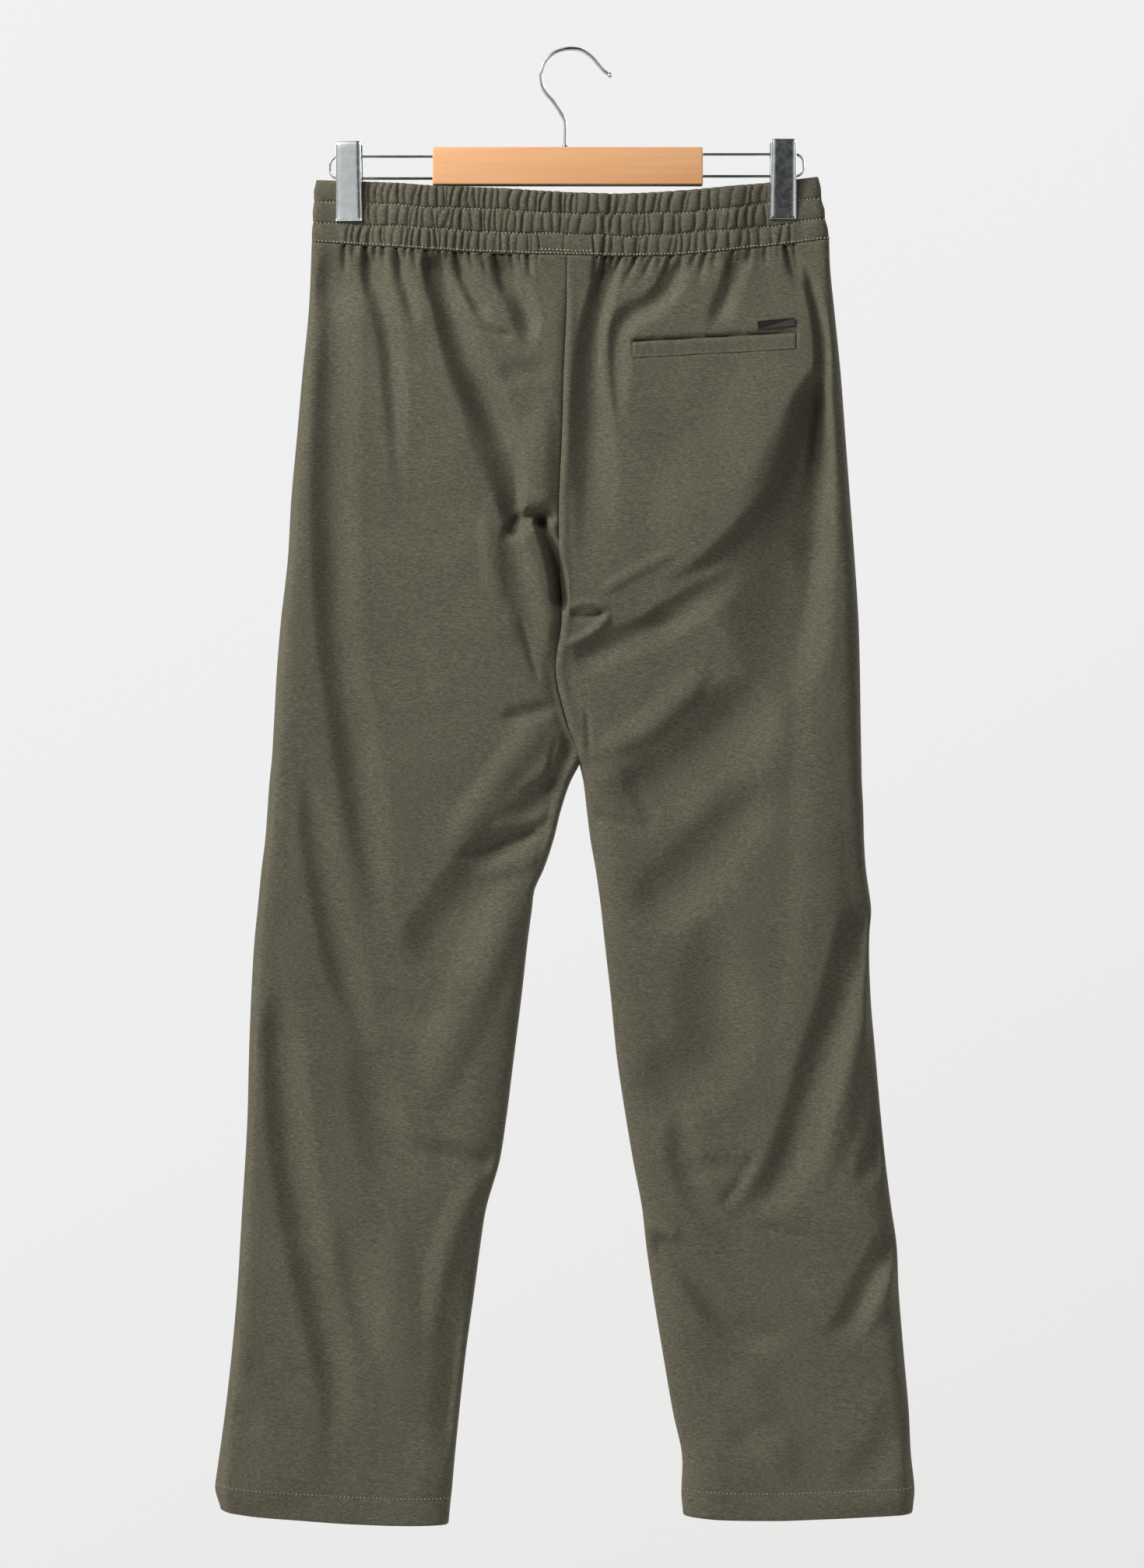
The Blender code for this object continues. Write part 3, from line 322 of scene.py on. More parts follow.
# ---- the waistband, in millimetres
band = {
    # drops of its upper and lower edge by x, and how far down its height each sewn line lies
    "topEdge": ((-199, 101.4), (-150, 103.2), (-110, 106.2), (-60, 108.2), (0, 111.6), (40, 112.6),
                (75, 111.0), (145, 104.3), (192, 98.8)),
    "lowerEdge": ((-201, 148.8), (-130, 153.6), (-68, 157.6), (0, 159.2), (60, 160.2), (100, 158.0),
                  (145, 153.2), (200, 146.4)),
    "sewnLines": (0.0, 0.325, 0.668, 1.0),
    # half its depth, and that under a clip; how far from a clip's middle it is pinched, and blends back
    "halfDepth": 9.2, "clipHalfDepth": 3.5, "clipHalf": 11.5, "clipReach": 34.0, "ease": 1.2, "easeFrom": 0.72,
    "wall": 2.5, "wallSlack": 0.2, "foldLift": 1.0, "edgeLift": -0.25, "endPower": 22.0,
    # how far the ends stand out past a straight line, by height
    "endRows": (0.0, 0.16, 0.325, 0.50, 0.668, 0.83, 1.0),
    "leftOut": (1.4, 0.2, 0.6, 0.0, 0.5, 0.0, 0.2),
    "rightOut": (0.6, 0.0, 0.9, 0.0, 0.8, 0.0, 0.2),
    # the grid: points round it, rows inside it, and the rows of one channel
    "columns": 1120, "innerRows": 8,
    "rowShares": (0.0, 0.035, 0.08, 0.16, 0.27, 0.40, 0.52, 0.64, 0.76, 0.86, 0.93, 0.968),
    # the elastic's puff in a channel and the groove at its seams
    "puff": 1.5, "groove": 1.7, "stitchPinch": 0.55, "stitchPinchWidth": 0.018,
    # the plain cloth at both ends and on the patch at the centre back, and how it blends into the gathers
    "gathered": (-182.0, 175.0), "endBlend": 8.0, "patch": (-25.0, 17.0), "patchBlend": 3.0, "patchCalm": 0.93,
    # depth and width of the centre back seam, of the deep tuck beside it and of the one a step further, and
    # the tuck's x by height
    "seam": (0.7, 1.1), "tuck": (1.9, 1.6), "besideTuck": (0.9, 1.3), "tuckStep": 5.5,
    "tuckCourse": ((0.0, 0.30, 0.42, 0.66, 1.0), (31.0, 29.0, 25.0, 26.5, 24.0)),
    "end": 200.0, "endRun": 4.0,
}
clipMiddles = {"left": -171.3, "right": 163.7}


def bandHalfDepth(x, down):
    pinched = np.zeros_like(x)
    for middle in clipMiddles.values():
        away = np.abs(x - middle) - band["clipHalf"]
        pinched = np.maximum(pinched, 1.0 - smooth(away / band["clipReach"]))
    eased = np.maximum(0.0, (down - band["easeFrom"]) / (1.0 - band["easeFrom"])) * band["ease"]
    return band["halfDepth"] + (band["clipHalfDepth"] + eased - band["halfDepth"]) * pinched


def bandDrop(x, down):
    top = curveThrough(*zip(*band["topEdge"]), x)
    return top + (curveThrough(*zip(*band["lowerEdge"]), x) - top) * down


# Gathers: creases stand close together on the left back, wider and softer on the right back. Each sewn
# channel has its own row of them, and each crease has its own depth, slant and bend.
Gathers = namedtuple("Gathers", "places depths slants bends")
GatherZone = namedtuple("GatherZone", "end pitch depth")
gatherZones = (GatherZone(200.0, 5.4, 1.0), GatherZone(400.0, 7.0, 0.85), GatherZone(1800.0, 6.2, 0.9))
bandHalfRound = 850.0  # the gathers are drawn up over a little more than the band's length round


def gatherRow(seed, length):
    dice = np.random.default_rng(seed)
    rows = [(0.0, 0.5, 0.0, 0.0)]
    while rows[-1][0] < length + 12.0:
        at = rows[-1][0]
        zone = next(zone for zone in gatherZones if at < zone.end)
        at += zone.pitch * float(np.clip(1.0 + 0.34 * dice.standard_normal(), 0.5, 1.7))
        rows.append((at, zone.depth * dice.uniform(0.3, 1.15), 1.7 * dice.standard_normal(),
                     0.8 * dice.standard_normal()))
    return Gathers(*np.array(rows).T)


gatherRows = [gatherRow(seed, bandHalfRound) for seed in (11, 23, 31)]


def gatherHeight(channel, run, across):
    # height of the gathered cloth over the channel's plain surface; run is mm round the band from its left
    # end, and across is 0 at the channel's upper line and 1 at its lower one
    row = gatherRows[channel]
    slid = run - np.interp(run, row.places, row.slants) * (across - 0.5)
    slid = slid - np.interp(run, row.places, row.bends) * np.sin(np.pi * across)
    index = np.interp(slid, row.places, np.arange(len(row.places)))
    nearest = np.clip(np.round(index).astype(int), 1, len(row.places) - 2)
    after = np.clip(np.floor(index).astype(int), 0, len(row.places) - 2)
    gap = row.places[after + 1] - row.places[after]
    inGap = np.clip((slid - row.places[after]) / gap, 0.0, 1.0)
    crown = np.sin(np.pi * inGap) ** 0.75 * np.clip(gap / 6.0, 0.6, 1.3)
    crease = bell(np.abs(slid - row.places[nearest]), 1.05) * row.depths[nearest]
    fullness = 0.5 * (row.depths[after] + row.depths[after + 1])
    return 1.25 * crown * (0.45 + 0.55 * fullness) - 1.55 * crease - 0.25


def bandRun(x, face):
    # mm round the band of a point on its back (face -1) or front (face 1)
    across = x + band["end"]
    return across + band["endRun"] if face < 0 else 4.0 * band["end"] + 2.0 * band["endRun"] - across


def plainEnds(x):
    # 0 on the plain cloth at the band's two ends and 1 where it is gathered
    return within(x, *band["gathered"], band["endBlend"])


def onPatch(x):
    return within(x, *band["patch"], band["patchBlend"])


def bandRelief(run, x, y, down):
    lines = band["sewnLines"]
    height = np.zeros_like(x)
    plainEnd = plainEnds(x)
    for channel in range(3):
        upper, lower = lines[channel:channel + 2]
        across = (down - upper) / (lower - upper)
        rise = np.sqrt(np.sin(np.pi * np.clip(across, 0.0, 1.0)) + 1e-9)
        held = 0.30 + 0.70 * rise
        # the top channel is open at its fold, and the lowest one ends on the leg panels
        if channel == 0:
            held = np.where(across < 0.5, 0.62 + 0.38 * rise, held)
        gathered = gatherHeight(channel, run, across) * held
        pressed = np.ones_like(x)
        if channel < 2:
            for middle in clipMiddles.values():
                pressed = np.minimum(pressed, 0.15 + 0.85 * smooth((np.abs(x - middle) - 9.0) / 5.0))
        if channel == 2:
            gathered = gathered * (1.0 - band["patchCalm"] * onPatch(x) * (y < 0.0))
        soft = 0.35 * np.sin(x / 3.9 + 2.0 * channel) * np.sin(x / 7.7 + 1.3 * channel) * rise
        pillow = (band["puff"] * rise - band["groove"] * 0.5) * (0.7 + 0.3 * plainEnd) * pressed
        pillow = pillow + soft * (1.0 - plainEnd) * pressed
        inside = (down >= upper) & (down <= lower)
        height = np.where(inside, gathered * plainEnd * pressed + pillow, height)
    for line in lines[1:3]:
        height = height - band["stitchPinch"] * bell(down - line, band["stitchPinchWidth"])
    # the centre back seam, and one deep tuck right of it that runs through every channel
    seam = hollow(x + 4.0 + 1.5 * down, band["seam"])
    tuckAt = np.interp(down, *band["tuckCourse"])
    tuck = hollow(x - tuckAt, band["tuck"]) + hollow(x - tuckAt - band["tuckStep"], band["besideTuck"])
    return height - (seam + tuck) * (y < 0.0)


def bandLoop(down, inset, count):
    # one level of the band: x, y, the two parts of its outward normal, and the run round it
    edges = band["topEdge"], band["lowerEdge"]
    left, right = (np.interp(down, (0.0, 1.0), [edge[i][0] for edge in edges]) for i in (0, -1))
    left += np.interp(down, band["endRows"], band["leftOut"]) + inset
    right -= np.interp(down, band["endRows"], band["rightOut"]) + inset
    turn = np.linspace(0.0, 2.0 * np.pi, 6001)[:-1]
    along = -np.cos(turn)
    x = (left + right) / 2.0 + (right - left) / 2.0 * along
    rounded = (1.0 - np.abs(along) ** band["endPower"]) ** 0.5
    y = -np.sign(np.sin(turn)) * (bandHalfDepth(x, down) - inset) * rounded
    ring = np.stack([np.append(x, x[0]), np.append(y, y[0])], axis=-1)
    length = runOf(ring)
    wanted = np.linspace(0.0, length[-1], count + 1)
    px, py = (np.interp(wanted, length, column) for column in ring.T)
    px[-1], py[-1] = px[0], py[0]
    ahead = np.stack([np.append(px[1:], px[1]), np.append(py[1:], py[1])])
    behind = np.stack([np.insert(px[:-1], 0, px[-2]), np.insert(py[:-1], 0, py[-2])])
    tangent = ahead - behind
    tangent /= np.maximum(np.hypot(*tangent), 1e-9)
    return px, py, tangent[1], -tangent[0], wanted


def bandOuter(down, count):
    x, y, nx, ny, run = bandLoop(down, 0.0, count)
    height = bandRelief(run, x, y, np.full_like(x, down))
    # little relief where the cloth turns the tight ends
    height *= smooth(1.0 - (np.abs(nx) - 0.25) / 0.5) * 0.85 + 0.15
    height[-1] = height[0]
    # the gathers ruffle the top fold
    ruffle = 0.42 * (height - height.mean()) * max(0.0, 1.0 - down / 0.08)
    # the sewn lines wander a little, as the elastic pulls them
    wander = 0.55 * np.sin(run / 17.0 + 9.0 * down) + 0.35 * np.sin(run / 6.3 + 20.0 * down)
    drop = bandDrop(x, down) - ruffle + wander * math.sin(math.pi * down) ** 0.5
    return np.stack([x + nx * height, y + ny * height, -drop], axis=-1), np.stack([nx, ny, 0 * nx], axis=-1)


def makeWaistband():
    count, wall = band["columns"], band["wall"]
    channels = zip(band["sewnLines"][:-1], band["sewnLines"][1:])
    downs = np.concatenate([a + (b - a) * np.array(band["rowShares"]) for a, b in channels] + [[1.0]])
    rows = [bandOuter(down, count)[0] for down in downs]
    inner = []
    for down in np.linspace(1.0, 0.0, band["innerRows"]):
        x, y = bandLoop(down, wall - band["wallSlack"] * math.sin(math.pi * down), count)[:2]
        inner.append(np.stack([x, y, -bandDrop(x, down)], axis=-1))

    def turn(start, end, lift):
        # a rounded turn over the top fold or under the lower edge
        middle = (start + end) / 2.0
        return [middle + (start - middle) * math.cos(a) + np.array([0.0, 0.0, lift * math.sin(a)])
                for a in np.linspace(0.0, math.pi, 6)[1:-1]]

    rows += turn(rows[-1], inner[0], band["edgeLift"]) + inner + turn(inner[-1], rows[0], band["foldLift"])
    bm = clothGrid(np.stack(rows + rows[:1]), closed=True)
    bmesh.ops.recalc_face_normals(bm, faces=bm.faces[:])
    turnRound(bm, bm.calc_volume(signed=True) < 0.0)
    return finishPiece("gatheredWaistband", bm, bandCloth, ("waistband",), smoothAngle=70)


# ---- the legs, in millimetres
# What a seam does to the panel beside it: how deep it goes in (an edge that stands out is negative), how wide
# it is and how far off the seam, the drop where it starts to grow and over how many millimetres, and how much
# less it is where the legs close.
SeamPart = namedtuple("SeamPart", "depth width off start blend less")
Section = namedtuple("Section", "drop leftOuter leftInner rightInner rightOuter back front")
legs = {
    "sections": tuple(Section(*row) for row in (
        (148.5, -201.0, -3.0, -3.0, 199.8, 9.0, 8.0),
        (167.0, -201.6, -3.2, -3.2, 200.4, 10.5, 8.6),
        (203.0, -203.4, -3.6, -3.6, 204.0, 13.0, 9.5),
        (251.0, -208.2, -5.7, -5.7, 208.8, 15.0, 10.5),
        (299.0, -212.4, -7.0, -7.0, 212.4, 16.0, 11.0),
        (347.0, -216.8, -9.2, -9.2, 216.0, 16.5, 11.0),
        (395.0, -219.6, -9.2, -9.2, 219.6, 16.5, 11.0),
        (443.0, -225.0, -7.2, -7.2, 222.6, 16.0, 11.0),
        (480.0, -228.0, -12.0, -12.0, 223.6, 15.5, 11.0),
        (520.0, -230.2, -3.2, -3.2, 224.2, 15.0, 11.0),
        (552.0, -232.2, 6.3, 6.3, 224.8, 14.5, 11.0),
        (563.0, -233.4, 0.6, 9.0, 225.0, 14.0, 11.0),
        (587.0, -235.2, -7.8, 12.0, 226.2, 13.5, 11.0),
        (611.0, -237.0, -13.8, 15.0, 226.8, 13.5, 11.0),
        (635.0, -240.0, -22.0, 19.2, 228.4, 13.0, 11.0),
        (649.0, -241.4, -28.4, 21.2, 230.4, 13.0, 11.0),
        (664.0, -242.8, -30.4, 23.2, 232.3, 13.0, 11.0),
        (683.0, -244.8, -33.0, 25.2, 231.0, 13.0, 11.0),
        (731.0, -247.8, -38.4, 30.6, 231.8, 12.5, 11.0),
        (779.0, -249.6, -44.4, 35.4, 235.8, 12.5, 11.0),
        (827.0, -250.8, -50.4, 42.6, 240.0, 12.5, 11.0),
        (858.0, -252.4, -55.2, 47.8, 243.2, 12.5, 11.0),
        (899.0, -255.0, -66.6, 55.4, 248.4, 12.5, 11.0),
        (920.0, -256.2, -69.8, 57.6, 251.6, 12.5, 11.0),
        (959.0, -258.6, -75.0, 63.0, 253.6, 12.5, 11.0),
        (1007.0, -262.8, -81.6, 70.8, 257.4, 12.5, 11.0),
        (1055.0, -268.2, -87.0, 79.2, 261.6, 12.5, 11.0),
        (1086.0, -272.4, -90.6, 86.0, 263.2, 12.5, 11.0),
        (1107.0, -275.4, -92.8, 85.4, 265.6, 12.5, 11.0),
        (1110.0, -275.8, -93.2, 85.3, 265.8, 12.5, 11.0),
        (1127.0, -271.8, -95.0, 86.6, 264.4, 12.5, 11.0))),
    # share of the way from a hem's inner edge to its outer edge, and the left and right hem's drop there
    "hems": ((0.0, 1138.5, 1131.5), (0.15, 1138.5, 1133.8), (0.4, 1137.2, 1134.4), (0.65, 1134.2, 1132.8),
             (0.85, 1131.2, 1131.0), (1.0, 1127.0, 1129.6)),
    "hemHeight": 19.6, "hemBlend": 90.0, "waistBlend": 70.0,
    "crotch": 552.0, "crotchRise": 122.0,
    "roundness": 2.3, "roll": 15.0, "innerRoll": 33.0, "waistRoll": 9.0,
    "wall": 1.3, "seamGap": -0.2, "layerGap": 0.3, "underBand": 0.3, "hemSlack": 0.3, "tuckUnder": 1.1,
    # columns and rows, and where rows stand closer: a drop, how much closer, and over what width
    "backGrid": (155, 300), "frontGrid": (84, 200),
    "closeRows": ((165.0, 1.5, 26.0), (430.0, 1.1, 100.0), (1115.0, 0.5, 22.0), (228.0, 1.6, 13.0)),
    # how far under the band the folds are full, and how far from a side relief is full and free to slant
    "foldStart": 14.0, "sideFade": 8.0, "sideStraight": 24.0,
    "ripple": 0.75, "rippleReach": 7.0, "hemGroove": (0.55, 1.3), "hemPuff": 0.45,
    # the left back has a valley at the seat seam that deepens towards the crotch, the right back a rolled edge
    "seams": {
        "backLeft": (SeamPart(1.0, 1.4, 0.0, 0.0, 1.0, 0.0), SeamPart(1.6, 4.5, 0.0, 172.0, 40.0, 0.0),
                     SeamPart(4.0, 9.0, 0.0, 425.0, 30.0, 0.5), SeamPart(1.5, 6.0, 0.0, 330.0, 60.0, 0.0)),
        "backRight": (SeamPart(1.0, 1.4, 0.0, 0.0, 1.0, 0.0), SeamPart(-1.3, 3.6, 4.0, 172.0, 40.0, 0.0)),
        "frontLeft": (SeamPart(0.9, 1.5, 0.0, 0.0, 1.0, 0.0),),
        "frontRight": (SeamPart(0.9, 1.5, 0.0, 0.0, 1.0, 0.0),),
    },
}

# One row for each fold: how deep it goes in (a ridge is negative), how wide it is on the left and right of its
# lowest line as one looks down the course (one width, or several spaced evenly along it), its edge, the
# shares of its length over which it grows and dies away, and its course as x and drop. An edge over 0
# pinches the lowest line into a crease, and one under 0 gives the left wall a firm upper shoulder. A fold
# that lies across the leg runs from right to left, so that its left is its upper side.
Fold = namedtuple("Fold", "depth left right edge grow die course")
backFolds = tuple(Fold(*row) for row in (
    # left seat, from the band down
    (5.5, 18, 24, 0.0, 0.08, 0.25, ((-186, 150), (-183, 240), (-185, 340), (-182, 440), (-174, 505),
        (-164, 570), (-154, 635), (-143, 697))),
    (4.5, 11, 14, 0.2, 0.06, 0.5, ((-158, 152), (-151, 185), (-142, 222), (-137, 270), (-133, 345))),
    (4.0, 8, 10, 0.5, 0.15, 0.4, ((-136, 154), (-130, 176), (-123, 204), (-117, 218))),
    (12.0, (11, 15, 20, 26), (14, 17, 22, 24), 0.0, 0.08, 0.4, ((-110, 155), (-100, 185), (-92, 210),
        (-82, 240), (-70, 266), (-58, 290), (-50, 312))),
    (11.0, (20, 28, 28, 22, 9), (22, 20, 14, 10, 8), -0.1, 0.5, 0.1, ((-82, 240), (-67, 270), (-54, 296),
        (-46, 320), (-43, 342), (-46, 370))),
    (6.8, 11, 9, 0.1, 0.08, 0.35, ((-90, 157), (-83, 176), (-74, 194), (-61, 212))),
    (8.0, 15, 12, 0.1, 0.08, 0.35, ((-57, 157), (-48, 176), (-39, 193), (-33, 212), (-33, 232))),
    (2.4, 4, 9, 0.4, 0.3, 0.35, ((-44, 221), (-60, 219), (-79, 212))),
    (2.6, 14, 11, 0.0, 0.35, 0.4, ((-14, 253), (-36, 250), (-60, 259))),
    (-3.0, 20, 13, 0.0, 0.45, 0.1, ((-20, 266), (-23, 310), (-24, 354))),
    # the flap over the crotch, the deep pocket that it shades and what hangs from it
    (9.5, 7, 13, 0.1, 0.12, 0.2, ((-19, 360), (-31, 360.5), (-41, 364), (-50, 374))),
    (16.5, (9, 12, 12), 5, 0.0, 0.08, 0.2, ((-24, 361), (-15, 381), (-9, 400), (-6, 420), (-5, 437))),
    (-2.0, 13, 13, 0.0, 0.2, 0.3, ((-38, 374), (-29, 400), (-18, 430))),
    (-2.0, 10, 12, 0.0, 0.3, 0.3, ((-66, 356), (-62, 398), (-56, 432))),
    (4.0, 16, 16, 0.0, 0.35, 0.35, ((-50, 362), (-43, 396), (-36, 428), (-29, 460), (-20, 490))),
    (1.8, 5, 5, 0.3, 0.3, 0.3, ((-40, 438), (-32, 464), (-25, 490))),
    (3.4, 10, 8, 0.1, 0.35, 0.35, ((-10, 508), (-32, 513), (-56, 519))),
    (-3.5, 16, 18, 0.0, 0.2, 0.3, ((-18, 516), (-44, 546), (-70, 582), (-96, 622))),
    (7.0, 13, 8, 0.2, 0.2, 0.3, ((4, 530), (-6, 553), (-18, 577))),
    (2.2, 4, 4, 0.6, 0.3, 0.3, ((-10, 530), (-15, 546), (-17, 562))),
    (7.5, (18, 22, 30, 32), (30, 40, 50, 50), -0.3, 0.15, 0.14, ((-4, 560), (-30, 590), (-52, 616),
        (-74, 646), (-96, 680), (-116, 712))),
    (-3.0, 8, 8, 0.1, 0.3, 0.3, ((-10, 586), (-34, 596), (-64, 602))),
    (5.0, 8, 11, 0.4, 0.2, 0.35, ((-20, 602), (-44, 611), (-66, 618), (-92, 623))),
    (-2.5, 10, 10, 0.1, 0.2, 0.4, ((-22, 622), (-50, 632), (-80, 640))),
    # left thigh and calf
    (5.0, 16, 20, 0.0, 0.25, 0.3, ((-206, 556), (-198, 595), (-190, 645), (-176, 710), (-154, 776))),
    (-4.0, 26, 24, 0.0, 0.25, 0.35, ((-44, 642), (-62, 690), (-86, 752), (-112, 822))),
    (3.2, 24, 20, 0.0, 0.45, 0.45, ((-86, 742), (-118, 747), (-142, 741), (-170, 722))),
    (6.5, 19, 22, 0.0, 0.15, 0.3, ((-227, 716), (-222, 790), (-217, 850), (-206, 915), (-191, 985),
        (-182, 1045), (-190, 1100))),
    (4.5, 26, 24, 0.0, 0.45, 0.35, ((-166, 756), (-152, 808), (-142, 846), (-122, 872), (-100, 876))),
    (4.4, 16, 12, 0.0, 0.2, 0.5, ((-56, 862), (-84, 858), (-122, 846))),
    (-3.8, 16, 16, 0.1, 0.2, 0.5, ((-66, 868), (-86, 900), (-100, 942), (-112, 1002))),
    (3.2, 22, 22, 0.0, 0.45, 0.45, ((-174, 900), (-165, 960), (-150, 1020))),
    (2.6, 16, 14, 0.0, 0.4, 0.3, ((-206, 1046), (-226, 1032), (-252, 1006))),
    (1.8, 14, 14, 0.0, 0.45, 0.4, ((-236, 1066), (-264, 1050))),
    (-2.5, 22, 22, 0.0, 0.3, 0.3, ((-136, 900), (-132, 980), (-128, 1070))),
    (-5.5, 10, (50, 70, 95, 110, 110, 90), 0.0, 0.15, 0.03, ((-206, 215), (-216, 380), (-231, 560),
        (-246, 760), (-256, 940), (-263, 1080), (-265, 1132))),
    (3.5, 20, 16, 0.0, 0.3, 0.3, ((-88, 960), (-92, 1020), (-98, 1090))),
    # right seat
    (9.0, (9, 14, 19, 20, 18), (12, 12, 18, 36, 50), 0.0, 0.04, 0.55, ((31, 156), (26, 180), (20, 205),
        (17, 228), (16, 255), (16, 285), (15, 315), (14, 345), (12, 380), (12, 412))),
    (5.8, (10, 11, 11, 10), (12, 14, 14, 12), 0.1, 0.1, 0.35, ((84, 160), (75, 184), (60, 198), (46, 205),
        (37, 217), (34, 236), (35, 262), (38, 292))),
    (5.0, 11, 12, 0.2, 0.1, 0.4, ((131, 158), (124, 182), (115, 202), (107, 218))),
    (3.8, 6, 7, 0.5, 0.1, 0.5, ((170, 146), (174, 164), (180, 186))),
    (7.5, (7, 8, 9, 9, 10), (6, 7, 7, 9, 11), 0.15, 0.12, 0.4, ((180, 164), (187, 188), (192, 212),
        (194.5, 240), (193.5, 268), (190, 296), (187, 322), (184, 350))),
    (12.5, (12, 26, 42, 56, 66, 72, 70, 62, 52), (10, 12, 15, 18, 20, 22, 28, 36, 40), -0.1, 0.12, 0.25,
        ((189, 246), (190, 284), (189, 318), (187, 350), (185, 382), (182, 412), (177, 442), (168, 472),
        (154, 508))),
    (3.0, (10, 14, 18, 20, 18), (10, 12, 14, 14, 14), 0.0, 0.25, 0.35, ((192, 280), (191, 320), (189, 356),
        (188, 392), (187, 430))),
    (4.4, (16, 14, 11, 9), (16, 20, 20, 14), -0.1, 0.45, 0.35, ((132, 403), (114, 416), (92, 428),
        (70, 438), (46, 448))),
    (-8.5, 75, 15, 0.0, 0.25, 0.3, ((187, 244), (174, 270), (164, 296), (155, 320), (145, 342), (130, 360),
        (112, 378), (90, 396), (64, 411))),
    (-2.0, 7, 8, 0.0, 0.3, 0.3, ((84, 386), (50, 404), (20, 421))),
    # the knot at the crotch
    (-2.2, 5, 3, 0.0, 0.2, 0.3, ((27, 433), (21, 429.5), (12, 429), (0, 431))),
    (3.8, 4, 5, 0.3, 0.2, 0.35, ((25, 435), (19, 438), (10, 438.5), (-2, 436))),
    (-3.4, 6, 6, 0.1, 0.2, 0.3, ((29, 438), (22, 446), (11, 454), (-5, 461))),
    (4.6, 14, 18, 0.1, 0.35, 0.15, ((98, 436), (70, 446), (44, 455), (22, 465), (2, 474))),
    (-2.5, 22, 32, 0.0, 0.2, 0.3, ((199, 380), (195, 470), (190, 560), (186, 650), (178, 740), (160, 820))),
    # right thigh
    (8.0, 33, 44, -0.25, 0.25, 0.42, ((152, 486), (130, 514), (106, 542), (78, 562), (48, 576), (16, 588))),
    (-4.0, 18, 13, 0.0, 0.25, 0.25, ((106, 480), (84, 504), (58, 526), (20, 545))),
    (1.6, 9, 13, 0.1, 0.3, 0.35, ((42, 558), (54, 580), (66, 603))),
    (2.6, 6, 9, 0.4, 0.15, 0.3, ((64, 602), (36, 597), (10, 590))),
    (6.5, 32, 32, 0.0, 0.25, 0.25, ((148, 566), (126, 596), (104, 626), (78, 652), (42, 668))),
    (1.8, 4, 4, 0.3, 0.3, 0.4, ((12, 512), (13, 528), (14, 545))),
    (6.0, 44, 34, 0.0, 0.3, 0.25, ((98, 668), (114, 726), (112, 772), (84, 800), (42, 822))),
    # right knee and calf
    (7.5, 20, 24, 0.0, 0.06, 0.25, ((234, 667), (222, 682), (214, 708), (205, 742), (192, 780), (176, 834),
        (158, 876), (120, 909))),
    (-4.0, 14, 18, 0.0, 0.2, 0.35, ((232, 700), (222, 754), (208, 812), (192, 886))),
    (3.0, 7, 7, 0.5, 0.3, 0.3, ((144, 848), (126, 880), (112, 896))),
    (3.6, 16, 16, 0.0, 0.4, 0.35, ((82, 816), (88, 860), (100, 890), (116, 908))),
    (2.6, 14, 12, 0.0, 0.4, 0.4, ((146, 860), (114, 863), (84, 868))),
    (-3.5, 8, 7, 0.2, 0.3, 0.15, ((84, 916), (68, 911), (56, 908))),
    (5.0, 16, 14, 0.1, 0.3, 0.1, ((172, 990), (146, 995), (122, 984), (104, 962), (89, 943), (74, 930),
        (55, 920))),
    (3.5, 8, 8, 0.4, 0.3, 0.4, ((190, 922), (164, 912), (136, 908))),
    (5.2, 16, 14, 0.1, 0.08, 0.3, ((254, 920), (241, 932), (228, 954), (214, 982), (192, 994))),
    (-3.0, 12, 12, 0.1, 0.2, 0.3, ((252, 938), (240, 966), (228, 988))),
    (4.0, 14, 14, 0.0, 0.3, 0.4, ((244, 824), (236, 852), (220, 880))),
    (2.2, 18, 16, 0.0, 0.4, 0.4, ((170, 1060), (146, 1068), (120, 1082))),
    (3.6, 22, 20, 0.0, 0.4, 0.4, ((248, 1022), (249, 1068), (232, 1092), (200, 1108))),
    (-2.5, 22, 22, 0.0, 0.3, 0.3, ((126, 1010), (150, 1060), (170, 1110))),
    (-4.0, (70, 110, 120), 24, 0.0, 0.2, 0.03, ((198, 560), (202, 700), (216, 860), (238, 1000),
        (252, 1132))),
))
